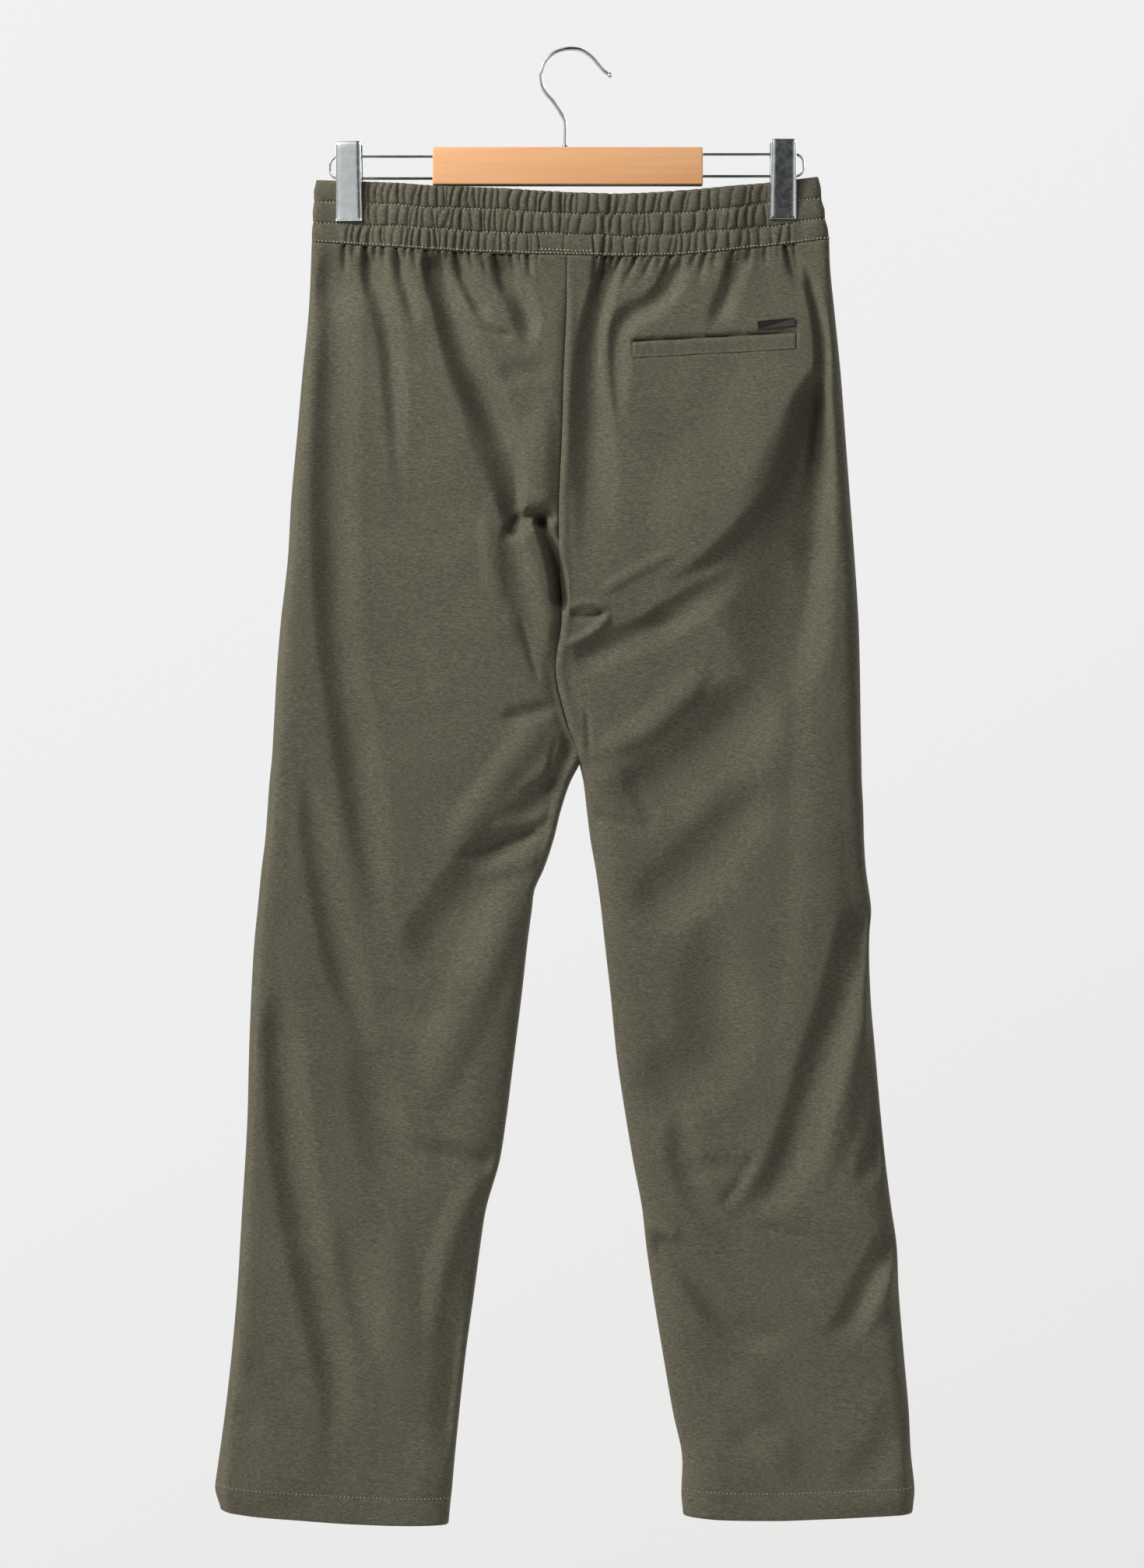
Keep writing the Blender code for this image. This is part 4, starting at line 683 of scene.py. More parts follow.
# the hidden front hangs in like folds of its own
frontFolds = tuple(Fold(*row) for row in (
    (6.5, 16, 18, 0.2, 0.15, 0.4, ((-172, 156), (-182, 260), (-180, 400), (-166, 520), (-150, 640))),
    (5.5, 14, 16, 0.2, 0.15, 0.4, ((-128, 158), (-120, 240), (-104, 330))),
    (6.5, 16, 18, 0.2, 0.15, 0.3, ((-84, 158), (-66, 250), (-36, 360), (-16, 470))),
    (5.0, 10, 12, 0.3, 0.15, 0.4, ((-40, 158), (-30, 210), (-24, 262))),
    (7.0, 20, 16, 0.1, 0.15, 0.3, ((-12, 556), (-56, 604), (-96, 650), (-132, 694))),
    (5.5, 9, 10, 0.4, 0.2, 0.4, ((-18, 596), (-60, 616), (-98, 628))),
    (5.5, 18, 18, 0.1, 0.2, 0.3, ((-214, 650), (-200, 780), (-184, 900), (-178, 1000), (-188, 1090))),
    (5.0, 16, 18, 0.2, 0.3, 0.3, ((-62, 864), (-104, 922), (-146, 962))),
    (4.0, 18, 18, 0.0, 0.3, 0.3, ((-128, 700), (-118, 780), (-96, 850))),
    (6.5, 16, 16, 0.2, 0.15, 0.4, ((176, 156), (186, 260), (180, 380), (164, 520))),
    (5.5, 12, 14, 0.2, 0.15, 0.4, ((122, 158), (112, 240), (92, 320))),
    (6.5, 16, 16, 0.2, 0.15, 0.3, ((66, 158), (56, 250), (34, 370), (14, 480))),
    (5.0, 10, 10, 0.3, 0.15, 0.4, ((26, 160), (22, 214), (20, 260))),
    (7.0, 16, 20, 0.1, 0.15, 0.3, ((20, 562), (64, 612), (104, 652), (140, 690))),
    (7.0, 14, 16, 0.3, 0.1, 0.3, ((228, 668), (204, 730), (182, 800), (150, 876))),
    (5.0, 16, 18, 0.2, 0.2, 0.3, ((60, 918), (102, 962), (150, 986))),
    (4.0, 18, 18, 0.0, 0.3, 0.3, ((214, 900), (206, 980), (214, 1070))),
))
# Puckers under the band: where each starts, how long it is, how far it drifts sideways, and how deep it is.
Pucker = namedtuple("Pucker", "x length drift depth")
backPuckers = tuple(Pucker(*row) for row in (
    (-176, 26, 1, 1.6), (-168, 12, 0, 1.0), (-160, 34, 4, 2.2), (-152, 12, 0, 1.1), (-146, 16, 2, 1.3),
    (-136, 30, 4, 2.0), (-129, 10, 1, 0.9), (-122, 20, 3, 1.4), (-113, 34, 5, 2.2), (-107, 10, 1, 0.9),
    (-102, 16, 3, 1.3), (-95, 9, 1, 0.9), (-90, 24, 6, 2.0), (-84, 9, 1, 0.9), (-79, 18, 5, 1.4),
    (-70, 16, 5, 1.4), (-60, 30, 9, 2.2), (-53, 10, 3, 1.0), (-47, 20, 5, 1.5), (-40, 10, 2, 1.0),
    (-34, 18, 3, 1.4), (20, 22, -3, 1.6), (26, 34, -8, 2.4), (32, 12, -3, 1.1), (38, 26, -9, 1.7),
    (44, 10, -2, 0.9), (50, 22, -9, 1.5), (56, 9, -2, 0.8), (62, 18, -7, 1.4), (70, 10, -3, 0.9),
    (77, 24, -9, 1.6), (86, 12, -3, 0.9), (95, 14, -3, 1.0), (103, 22, -4, 1.4), (112, 12, -2, 0.9),
    (125, 24, -4, 1.5), (138, 12, -1, 0.9), (150, 14, 1, 1.0), (165, 34, 10, 2.2), (172, 10, 2, 0.8),
))
frontPuckers = [Pucker(-p.x + 3, p.length, -p.drift, p.depth * 0.8) for p in backPuckers]


def widthAlong(widths, share):
    widths = np.atleast_1d(widths)
    return np.interp(share, np.linspace(0.0, 1.0, len(widths)), widths)


def foldRelief(x, drop, folds):
    # how far in the folds push the cloth, in mm
    total = np.zeros_like(x)
    for fold in folds:
        line = smoothLine(fold.course, 5.0)
        reach = max(np.max(fold.left), np.max(fold.right))
        near = ((x > line[:, 0].min() - reach) & (x < line[:, 0].max() + reach)
                & (drop > line[:, 1].min() - reach) & (drop < line[:, 1].max() + reach))
        px, pd = x[near], drop[near]
        nearest, side, travelled = np.full(px.shape, 1e6), np.zeros(px.shape), np.zeros(px.shape)
        steps = np.hypot(*np.diff(line, axis=0).T)
        start = 0.0
        for (ax, ad), (bx, bd), step in zip(line[:-1], line[1:], steps):
            t = np.clip(((px - ax) * (bx - ax) + (pd - ad) * (bd - ad)) / step**2, 0.0, 1.0)
            away = np.hypot(px - ax - t * (bx - ax), pd - ad - t * (bd - ad))
            closer = away < nearest
            nearest = np.where(closer, away, nearest)
            across = ((bx - ax) * (pd - ad) - (bd - ad) * (px - ax)) / step
            side = np.where(closer, across, side)
            travelled = np.where(closer, start + t * step, travelled)
            start += step
        strength = smooth((travelled + 3.0) / (fold.grow * start))
        strength = strength * smooth((start + 3.0 - travelled) / (fold.die * start))
        # both widths blend round the fold's ends, so that no line shows there
        lean = smooth(0.5 + 0.5 * side / np.maximum(nearest, 0.5))
        leftWidth, rightWidth = (widthAlong(widths, travelled / start) for widths in (fold.left, fold.right))
        width = (rightWidth + (leftWidth - rightWidth) * lean) * (0.5 + 0.5 * strength)
        q = np.clip(nearest / width, 0.0, 1.0)
        soft = (1.0 - q**2) ** 2
        shape = (1.0 - q) ** 2.2 if fold.edge > 0 else soft + (1.0 - q**2 - soft) * lean
        total[near] += fold.depth * strength * (soft + (shape - soft) * abs(fold.edge))
    return total


def puckerRelief(x, below, puckers):
    total = np.zeros_like(x)
    for pucker in puckers:
        course = pucker.x + pucker.drift * (below / pucker.length)
        away = (x - course) / (1.6 + 0.11 * np.maximum(below, 0.0))
        dying = smooth(1.0 - below / (1.35 * pucker.length))
        valley = 1.7 * bell(away, 1.0) + 0.9 * bell(1.8 * away, 1.0)
        total += pucker.depth * valley * dying * (below >= 0)
    return total


waveDice = np.random.default_rng(5)
slackWaves = [[waveDice.uniform(*limits) for limits in ((22.0, 75.0), (0.0, math.pi), (0.0, 2 * math.pi))]
              for _ in range(16)]


def slackness(x, drop):
    # the cloth is never quite flat between its folds
    total = np.zeros_like(x)
    for length, angle, phase in slackWaves:
        total += length * np.sin((x * math.cos(angle) + drop * math.sin(angle)) * 2 * math.pi / length + phase)
    return total / 620.0


def legSurface(side, face, along, drop):
    # points of one leg panel's outer surface, rows by columns
    name = "left" if side < 0 else "right"
    sections = legs["sections"]
    drops = [row.drop for row in sections]

    def sectionCurve(column):
        return curveThrough(drops, [getattr(row, column) for row in sections], drop)

    def turnedOver(distance, reach):
        away = 1.0 - np.clip(distance / reach, 0.0, 1.0)
        return (1.0 - away ** legs["roundness"]) ** (1.0 / legs["roundness"])

    inner, outer = sectionCurve(name + "Inner"), sectionCurve(name + "Outer")
    x = inner + (outer - inner) * along
    fromOuter, fromInner = np.abs(outer - x), np.abs(x - inner)
    # the top edge follows the band, and the bottom edge the hem
    settled = smooth((drop - drops[0]) / legs["waistBlend"])
    seam = curveThrough(*zip(*band["lowerEdge"]), x) + legs["underBand"]
    hemAt, hemLeft, hemRight = zip(*legs["hems"])
    hem = curveThrough(hemAt, hemLeft if side < 0 else hemRight, along)
    hangs = drop + (seam - drops[0]) * (1.0 - settled)
    hangs = hangs + (hem - drops[-1]) * smooth(1.0 - (drops[-1] - drop) / legs["hemBlend"])
    # how far the plain surface stands off the middle
    full = (bandHalfDepth(x, np.ones_like(x)) - legs["underBand"]) * (1.0 - settled)
    full = full + sectionCurve("back" if face < 0 else "front") * settled
    stand = full * turnedOver(fromOuter, legs["waistRoll"] + (legs["roll"] - legs["waistRoll"]) * settled)
    closing = np.clip((drop - legs["crotch"] + legs["crotchRise"]) / legs["crotchRise"], 0.0, 1.0)
    atSeam = full * (1.0 - closing**2.4) ** 0.5
    stand = atSeam + (stand - atSeam) * turnedOver(fromInner, legs["innerRoll"])
    # folds, and a little slack between them
    below = hangs - seam
    relief = foldRelief(x, hangs, backFolds if face < 0 else frontFolds)
    atTop = smooth(below / legs["foldStart"])
    relief = relief * (0.25 + 0.75 * atTop) + slackness(x + 300.0 * side + 500.0 * face, hangs) * atTop
    relief = relief + puckerRelief(x, below, backPuckers if face < 0 else frontPuckers)
    # the seams that join left and right
    aboveCrotch = drop < legs["crotch"]
    for part in legs["seams"][("back" if face < 0 else "front") + name.capitalize()]:
        grown = smooth((hangs - part.start) / part.blend) * (1.0 - part.less * closing)
        relief = relief + part.depth * grown * bell(fromInner - part.off, part.width) * aboveCrotch
    # the band's gathers run on into the leg's top edge
    ripple = gatherHeight(2, bandRun(x, face), np.ones_like(x)) * plainEnds(x)
    ripple = ripple * (1.0 - band["patchCalm"] * onPatch(x) * (face < 0))
    relief = relief - legs["ripple"] * ripple * np.exp(-np.maximum(below, 0.0) / legs["rippleReach"])
    # the hem is sewn through: a groove at its stitches and a slight puff under them
    overHem = hem - hangs
    relief = relief + hollow(overHem - legs["hemHeight"], legs["hemGroove"])
    relief = relief - legs["hemPuff"] * smooth((legs["hemHeight"] - overHem) / 4.0)
    if side > 0 and face < 0:
        relief = relief + pocketDip(x, hangs)
    # relief dies away where the cloth turns over a side, and where the legs close at the crotch
    innerFade = 1.0 + (smooth(fromInner / legs["sideFade"]) - 1.0) * closing
    relief = relief * smooth(fromOuter / legs["sideFade"]) * innerFade
    x = x + side * legs["seamGap"] / 2.0
    if side < 0:
        # the left panel runs on under the right one where the seam bends at the crotch
        tucked = smooth((drop - 425.0) / 25.0) * smooth((legs["crotch"] + 2.0 - drop) / 12.0)
        x = x + legs["tuckUnder"] * tucked * np.exp(-fromInner / 3.0)
    base = np.stack([x, face * (stand + legs["layerGap"] / 2.0), -hangs], axis=-1)
    # near the side seams the cloth may only move straight in, so that front and back still meet
    straight = smooth(fromOuter / legs["sideStraight"])[..., None]
    normals = gridNormals(base, side * face) * straight + np.array([0.0, float(face), 0.0]) * (1.0 - straight)
    return base - unit(normals) * relief[..., None]


# ---- the back pocket's welt, in millimetres
pocket = {
    "left": 47.4, "right": 173.4, "topLeft": 226.6, "topRight": 219.7, "height": 12.9,
    # how far the panel sinks under it, and the depth, width and height over its top edge of its mouth line
    "dip": 1.3, "mouth": (2.4, 1.5), "mouthOver": 0.3,
    # how far it stands up at its top and how much less at its foot, and its soft edge, wall and rub marks
    "lift": 1.6, "liftLess": 0.6, "edge": 1.3, "wall": 0.7, "marks": 13, "columns": 150, "rows": 16,
}


def topOf(piece, along):
    return piece["topLeft"] + (piece["topRight"] - piece["topLeft"]) * along


def pocketDip(x, drop):
    # the panel sinks under the welt, so that fine lines show round it
    down = drop - topOf(pocket, (x - pocket["left"]) / (pocket["right"] - pocket["left"]))
    dip = pocket["dip"] * within(down, -2.4, pocket["height"] + 0.2, 1.6)
    return (dip + hollow(down + pocket["mouthOver"], pocket["mouth"])) * within(
        x, pocket["left"] - 1.6, pocket["right"] + 1.6, 1.2)


def panelGrid(side, face, columns, rows):
    even = np.linspace(0.0, 1.0, columns + 1)
    along = 0.7 * even + 0.3 * (1.0 - np.cos(np.pi * even)) / 2.0
    # rows stand closer together under the band, round the crotch, at the hem and at the pocket
    fine = np.linspace(legs["sections"][0].drop, legs["sections"][-1].drop, 2000)
    want = 1.0 + sum(hollow(fine - place, size) for place, *size in legs["closeRows"])
    share = np.append(0.0, np.cumsum((want[1:] + want[:-1]) / 2.0))
    drop = np.interp(np.linspace(0.0, share[-1], rows + 1), share, fine)
    return legSurface(side, face, *np.meshgrid(along, drop))


def turnUpHem(points, side, face):
    # carries the grid round the hem's fold and up its inside, as the sewn hem does
    normals = gridNormals(points, side * face)
    thick = legs["wall"] * 2 + legs["hemSlack"]
    flat = unit(normals[-1] * np.array([1.0, 1.0, 0.0])) * thick / 2.0
    rows = [points]
    for angle in np.linspace(0.0, math.pi, 6)[1:]:
        below = np.array([0.0, 0.0, -thick / 2.0 * math.sin(angle)])
        rows.append((points[-1] - flat + flat * math.cos(angle) + below)[None])
    for i in range(len(points) - 2, 0, -1):
        if (points[i, :, 2] - points[-1, :, 2]).mean() < legs["hemHeight"] - 0.5:
            rows.append((points[i] - normals[i] * thick)[None])
    return np.concatenate(rows)


def makeLeg(name, node, side, face):
    key = "back" if face < 0 else "front"
    bm = clothGrid(turnUpHem(panelGrid(side, face, *legs[key + "Grid"]), side, face))
    # the panel's outer face has to look away from the garment's middle
    facing = sum(f.normal.y * f.calc_area() for f in bm.faces if f.calc_center_median().z > -1.0)
    turnRound(bm, facing * face < 0.0)
    piece = finishPiece(name, bm, legCloth, (node,), smoothAngle=75)
    addWall(piece, legs["wall"])
    return piece


waistband = makeWaistband()
print("waistband made")
legPieces = [makeLeg("backLeftPanel", "back_left", -1, -1), makeLeg("backRightPanel", "back_right", 1, -1),
             makeLeg("frontLeftPanel", "front_left", -1, 1), makeLeg("frontRightPanel", "front_right", 1, 1)]
print("leg panels made")

rightBack = panelGrid(1, -1, *legs["backGrid"])


def surfaceStand(x, drop):
    # y of the right back panel, smoothly between its grid points
    rows = rightBack[:, :, 2].mean(axis=1)
    out = np.zeros_like(x)
    for index in np.ndindex(x.shape):
        i = np.clip(np.searchsorted(-rows, drop[index]), 1, len(rows) - 1)
        share = (drop[index] + rows[i - 1]) / (rows[i - 1] - rows[i])
        above, under = (np.interp(x[index], line[:, 0], line[:, 1]) for line in rightBack[i - 1:i + 1])
        out[index] = above + (under - above) * share
    return out


def makeWelt():
    along, down = np.meshgrid(*(np.linspace(0.0, 1.0, pocket[way] + 1) for way in ("columns", "rows")))
    width, height = pocket["right"] - pocket["left"], pocket["height"]
    x = pocket["left"] + width * along
    drop = topOf(pocket, along) + height * down
    # the welt lies a little over the cloth round it, soft at its edges and rubbed in places
    dice = np.random.default_rng(3)
    marks = np.zeros_like(x)
    for place in dice.uniform(0.03, 0.97, pocket["marks"]):
        marks += hollow((along - place) * width, (dice.uniform(0.05, 0.22), dice.uniform(1.2, 2.8)))
    edge = np.minimum(np.minimum(along, 1.0 - along) * width, np.minimum(down, 1.0 - down) * height)
    crown = np.sqrt(np.clip(1.0 - (1.0 - np.clip(edge / pocket["edge"], 0.0, 1.0)) ** 2, 0.0, 1.0))
    lift = pocket["lift"] - pocket["liftLess"] * down
    y = surfaceStand(x, drop) - (lift * (0.35 + 0.65 * crown) - marks)
    bm = clothGrid(np.stack([x, y, -drop], axis=-1))
    turnRound(bm, sum(f.normal.y for f in bm.faces) > 0.0)
    piece = finishPiece("pocketWeltStrip", bm, legCloth, ("pocket_welt",), smoothAngle=60)
    addWall(piece, pocket["wall"])
    return piece


weltPiece = makeWelt()

# ---- the small plate over the pocket: a bare bar with a raised rim, pinned flat on the cloth, in millimetres
plate = {"left": 143.6, "right": 172.4, "topLeft": 211.0, "topRight": 208.2, "height": 6.6, "thick": 1.1,
         "corner": 0.5, "rim": 0.75, "rimRound": 0.14, "sunk": 0.35, "over": 0.35}


def makePlate():
    bm = bmesh.new()
    bmesh.ops.create_cube(bm, size=1.0)
    width = plate["right"] - plate["left"]
    bmesh.ops.scale(bm, vec=(width * mm, plate["thick"] * mm, plate["height"] * mm), verts=bm.verts[:])
    bm.normal_update()
    corners = [e for e in bm.edges if abs(e.verts[0].co.z - e.verts[1].co.z) < 1e-9
               and abs(e.verts[0].co.x - e.verts[1].co.x) < 1e-9]
    roundEdges(bm, corners, plate["corner"] * mm, 3)

    def outerFace():
        bm.normal_update()
        return max((f for f in bm.faces if f.normal.y < -0.9), key=lambda f: f.calc_area())

    bmesh.ops.inset_region(bm, faces=[outerFace()], thickness=plate["rim"] * mm, depth=0.0)
    bmesh.ops.translate(bm, vec=(0.0, plate["sunk"] * mm, 0.0), verts=outerFace().verts)
    rims = [e for e in bm.edges if e.calc_face_angle(0.0) > math.radians(50)]
    roundEdges(bm, rims, plate["rimRound"] * mm, 2)
    # it lies as the cloth under it leans
    middleX, middleDrop = (plate["left"] + plate["right"]) / 2.0, topOf(plate, 0.5) + plate["height"] / 2.0
    spots = np.array([[plate["left"], middleX, plate["right"]]])
    stands = surfaceStand(spots, np.full_like(spots, middleDrop))[0]
    yaw = math.atan2(stands[2] - stands[0], width)
    roll = math.atan2(plate["topLeft"] - plate["topRight"], width)
    level = (stands[0] + stands[2]) / 2.0
    away = level - max(0.0, level - stands[1]) - plate["over"] - plate["thick"] / 2.0
    turned = Matrix.Rotation(yaw, 4, "Z") @ Matrix.Rotation(-roll, 4, "Y")
    bmesh.ops.transform(bm, matrix=Matrix.Translation(Vector((middleX, away, -middleDrop)) * mm) @ turned,
                        verts=bm.verts[:])
    return finishPiece("bareBadgePlate", bm, zinc, ("badge_plate",), smoothAngle=40)


makePlate()
print("pocket made")

# ---- stitches: short thread lengths that lie in their sewn lines, in millimetres
stitch = {"length": 1.5, "thick": 0.50, "pitch": 2.9, "hemPitch": 3.1, "sunk": 0.1, "hemOut": 0.12,
          # the three rows round the band, and the one that closes the plain patch at the centre back
          "bandRows": (0.325, 0.668, 0.972), "patchRow": 0.925}


def threadStitches(name, spots, made):
    # spots are (centre, direction, outward normal), one for each stitch
    bm = bmesh.new()
    dice = np.random.default_rng(len(spots))
    for centre, ahead, normal in spots:
        ahead = unit(ahead)
        normal = unit(normal - ahead * np.dot(normal, ahead))
        side = np.cross(ahead, normal)
        size = (stitch["length"] * dice.uniform(0.42, 0.56), stitch["thick"] * dice.uniform(0.9, 1.3),
                stitch["thick"] * 0.9)
        axes = Matrix([[way[k] * length * mm for way, length in zip((ahead, side, normal), size)]
                       + [centre[k] * mm] for k in range(3)] + [[0, 0, 0, 1]])
        bmesh.ops.create_icosphere(bm, subdivisions=1, radius=1.0, matrix=axes)
    turnRound(bm, bm.calc_volume(signed=True) < 0.0)
    return finishPiece(name, bm, made, smoothAngle=180)


def bandStitchSpots(down, keep=lambda x, y: True):
    points, normals = bandOuter(down, band["columns"])
    length = runOf(points)
    count = int(length[-1] / stitch["pitch"])
    spots = []
    for place in (np.arange(count) + 0.5) / count * length[-1]:
        i = int(np.clip(np.searchsorted(length, place), 1, len(points) - 1))
        centre = (points[i] + points[i - 1]) / 2.0
        if keep(centre[0], centre[1]):
            lifted = centre + normals[i] * (stitch["thick"] - stitch["sunk"])
            spots.append((lifted, points[i] - points[i - 1], normals[i]))
    return spots


def hemStitchSpots(side, face):
    grid = panelGrid(side, face, *legs["backGrid"])
    normals = gridNormals(grid, side * face)
    over = grid[:, :, 2] - grid[-1, :, 2] - legs["hemHeight"]
    line, lineNormals = [], []
    for j in range(grid.shape[1]):
        i = min(max(int(np.argmin(np.abs(over[:, j]))), 1), len(grid) - 2)
        low = i if over[i, j] >= 0.0 else i - 1
        share = over[low, j] / max(over[low, j] - over[low + 1, j], 1e-9)
        line.append(grid[low, j] + (grid[low + 1, j] - grid[low, j]) * share)
        lineNormals.append(normals[i, j])
    line, lineNormals = np.array(line), np.array(lineNormals)
    length = runOf(line)
    spots = []
    for place in np.arange(stitch["hemPitch"], length[-1] - 1.0, stitch["hemPitch"]):
        centre = np.array([np.interp(place, length, column) for column in line.T])
        i = int(np.clip(np.searchsorted(length, place), 1, len(line) - 1))
        spots.append((centre + lineNormals[i] * stitch["hemOut"], line[i] - line[i - 1], lineNormals[i]))
    return spots


bandSpots = [spot for down in stitch["bandRows"] for spot in bandStitchSpots(down)]
bandSpots += bandStitchSpots(stitch["patchRow"],
                             lambda x, y: y < 0.0 and band["patch"][0] < x < band["patch"][1])
bandStitches = threadStitches("waistbandStitches", bandSpots, thread)
hemSpots = [spot for face in (-1, 1) for side in (-1, 1) for spot in hemStitchSpots(side, face)]
threadStitches("hemStitches", hemSpots, hemThread)
print("stitches made", len(bandSpots), len(hemSpots))


# ---- the hanger, in metres
hanger = {"barLeft": -0.1072, "barRight": 0.1018, "barTop": -0.0754, "barBottom": -0.1046, "barDepth": 0.012,
          "barRound": 0.0013, "hookX": -0.0047, "hookWire": 0.0014, "ball": 0.0021, "loopWire": 0.001,
          "loopCorner": 0.0066, "loopHeight": 0.0169, "intoBar": 0.012}
hangerEnds = {
    "Left": {"side": -1, "barEnd": -0.1072, "loopEnd": -0.1868, "upperWire": -0.0822, "middle": -0.1713,
             "top": -0.0716, "turn": -4.0},
    "Right": {"side": 1, "barEnd": 0.1018, "loopEnd": 0.1798, "upperWire": -0.0805, "middle": 0.1637,
              "top": -0.0699, "turn": 2.0},
}


def wirePiece(name, points, radius, node, radii=None):
    # a drawn wire: a bevelled curve, made a mesh in place
    curve = bpy.data.curves.new(name, "CURVE")
    curve.dimensions = "3D"
    curve.bevel_depth = radius
    curve.bevel_resolution = 5
    curve.use_fill_caps = True
    spline = curve.splines.new("POLY")
    spline.points.add(len(points) - 1)
    for i, point in enumerate(points):
        spline.points[i].co = (*point, 1.0)
        spline.points[i].radius = radii[i] if radii else 1.0
    holder = inScene(name + "Curve", curve)
    bpy.context.view_layer.update()
    bm = bmesh.new()
    bm.from_mesh(bpy.data.meshes.new_from_object(holder.evaluated_get(bpy.context.evaluated_depsgraph_get())))
    bpy.data.objects.remove(holder, do_unlink=True)
    bmesh.ops.remove_doubles(bm, verts=bm.verts[:], dist=1e-6)
    bmesh.ops.recalc_face_normals(bm, faces=bm.faces[:])
    return finishPiece(name, bm, chrome, (node,), smoothAngle=50)


def makeHook():
    course = ((-0.0047, -0.0894), (-0.0047, -0.0700), (-0.0047, -0.0575), (-0.0062, -0.0518),
              (-0.0139, -0.0398), (-0.0193, -0.0336), (-0.0224, -0.0278), (-0.0235, -0.0215),
              (-0.0232, -0.0160), (-0.0211, -0.0100), (-0.0176, -0.0052), (-0.0122, -0.0011),
              (-0.0061, 0.0009), (0.0, 0.0014), (0.0061, 0.0007), (0.0114, -0.0017), (0.0168, -0.0060),
              (0.0214, -0.0115), (0.0252, -0.0158), (0.0284, -0.0181))
    # how far past the wire's end, and the share of the ball's radius there
    ball = ((0.0004, 0.62), (0.0010, 0.86), (0.0018, 1.0), (0.0026, 0.9), (0.0032, 0.62), (0.0035, 0.3))
    line = smoothLine(course, 0.0011)
    points = [(x, 0.0, z) for x, z in line]
    radii = [1.0] * len(points)
    ahead = unit(line[-1] - line[-2])
    for forward, size in ball:
        x, z = line[-1] + ahead * forward
        points.append((x, 0.0, z))
        radii.append(size * hanger["ball"] / hanger["hookWire"])
    wirePiece("wireHook", points, hanger["hookWire"], "hook", radii)


def makeFerrule():
    # a pressed collar where the hook enters the bar, spun from its half profile of radius and height
    bm = bmesh.new()
    profile = ((0.0017, 0.0), (0.0027, 0.0), (0.00285, 0.0003), (0.0027, 0.0009), (0.0023, 0.0013),
               (0.0021, 0.0021), (0.0018, 0.0023), (0.0017, 0.0020))
    verts = [bm.verts.new((r, 0.0, z)) for r, z in profile]
    edges = [bm.edges.new(pair) for pair in zip(verts, verts[1:] + verts[:1])]
    bmesh.ops.spin(bm, geom=verts + edges, cent=(0, 0, 0), axis=(0, 0, 1), angle=2 * math.pi, steps=28,
                   use_merge=True)
    bmesh.ops.remove_doubles(bm, verts=bm.verts[:], dist=1e-6)
    bmesh.ops.recalc_face_normals(bm, faces=bm.faces[:])
    bmesh.ops.translate(bm, vec=(hanger["hookX"], 0.0, hanger["barTop"] + 0.0002), verts=bm.verts[:])
    finishPiece("hookCollar", bm, chrome, ("hook_ferrule",))


def makeBar():
    bm = bmesh.new()
    bmesh.ops.create_cube(bm, size=1.0)
    size = (hanger["barRight"] - hanger["barLeft"], hanger["barDepth"], hanger["barTop"] - hanger["barBottom"])
    bmesh.ops.scale(bm, vec=size, verts=bm.verts[:])
    roundEdges(bm, bm.edges[:], hanger["barRound"], 4)
    middle = ((hanger["barLeft"] + hanger["barRight"]) / 2, 0.0, (hanger["barTop"] + hanger["barBottom"]) / 2)
    bmesh.ops.translate(bm, vec=middle, verts=bm.verts[:])
    finishPiece("beechBar", bm, beech, ("hanger_bar",), smoothAngle=60)


def makeLoop(name, end):
    side, corner = end["side"], hanger["loopCorner"]
    upper, lower = end["upperWire"], end["upperWire"] - hanger["loopHeight"]
    turnX = end["loopEnd"] - side * corner
    start = end["barEnd"] - side * hanger["intoBar"]
    points = [(start, 0.0, upper), ((start + turnX) / 2, 0.0, upper)]
    for angle in np.radians(np.linspace(90, -90, 19)):
        centre = upper - corner if angle >= 0 else lower + corner
        points.append((turnX + side * corner * math.cos(angle), 0.0, centre + corner * math.sin(angle)))
        if abs(angle) < 1e-6:
            points.append((turnX + side * corner, 0.0, lower + corner))
    points += [((start + turnX) / 2, 0.0, lower), (start, 0.0, lower)]
    wirePiece(f"wireLoop{name}", points, hanger["loopWire"], f"wire_loop_{name.lower()}")


# The clip's jaws are pressed plates: a flat middle, a fine groove, and a rolled bright rim down both sides
# and along the lower edge. Rows give how far down, how far the face stands off the middle and the width.
jaw = {
    "halfWidth": 0.0100, "length": 0.0612, "sheet": 0.0007,
    "down": (0.0, 0.0012, 0.0040, 0.0115, 0.0262, 0.0400, 0.0540, 0.0580, 0.0600, 0.0612),
    "stand": (0.0104, 0.0110, 0.0113, 0.0107, 0.0094, 0.0072, 0.0056, 0.0053, 0.0054, 0.0058),
    "width": (0.965, 0.97, 0.975, 0.98, 0.995, 1.01, 1.025, 1.03, 1.03, 1.03),
    # from the middle out: share of the half width, and how far in from the rim's crest
    "across": ((0.0, 0.00028), (0.55, 0.00028), (0.80, 0.00030), (0.855, 0.00045), (0.875, 0.00055),
               (0.89, 0.00030), (0.91, 0.00006), (0.94, 0.0), (0.97, 0.00010), (0.99, 0.00040), (1.0, 0.0009),
               (1.0, 0.0022)),
    "rows": 68, "rimRows": 16, "rimHeight": 0.0030,
    # how far the ears reach in, and where they start and end
    "ear": 0.0035, "earSpan": (0.0110, 0.0270), "earBlend": 0.0012,
}


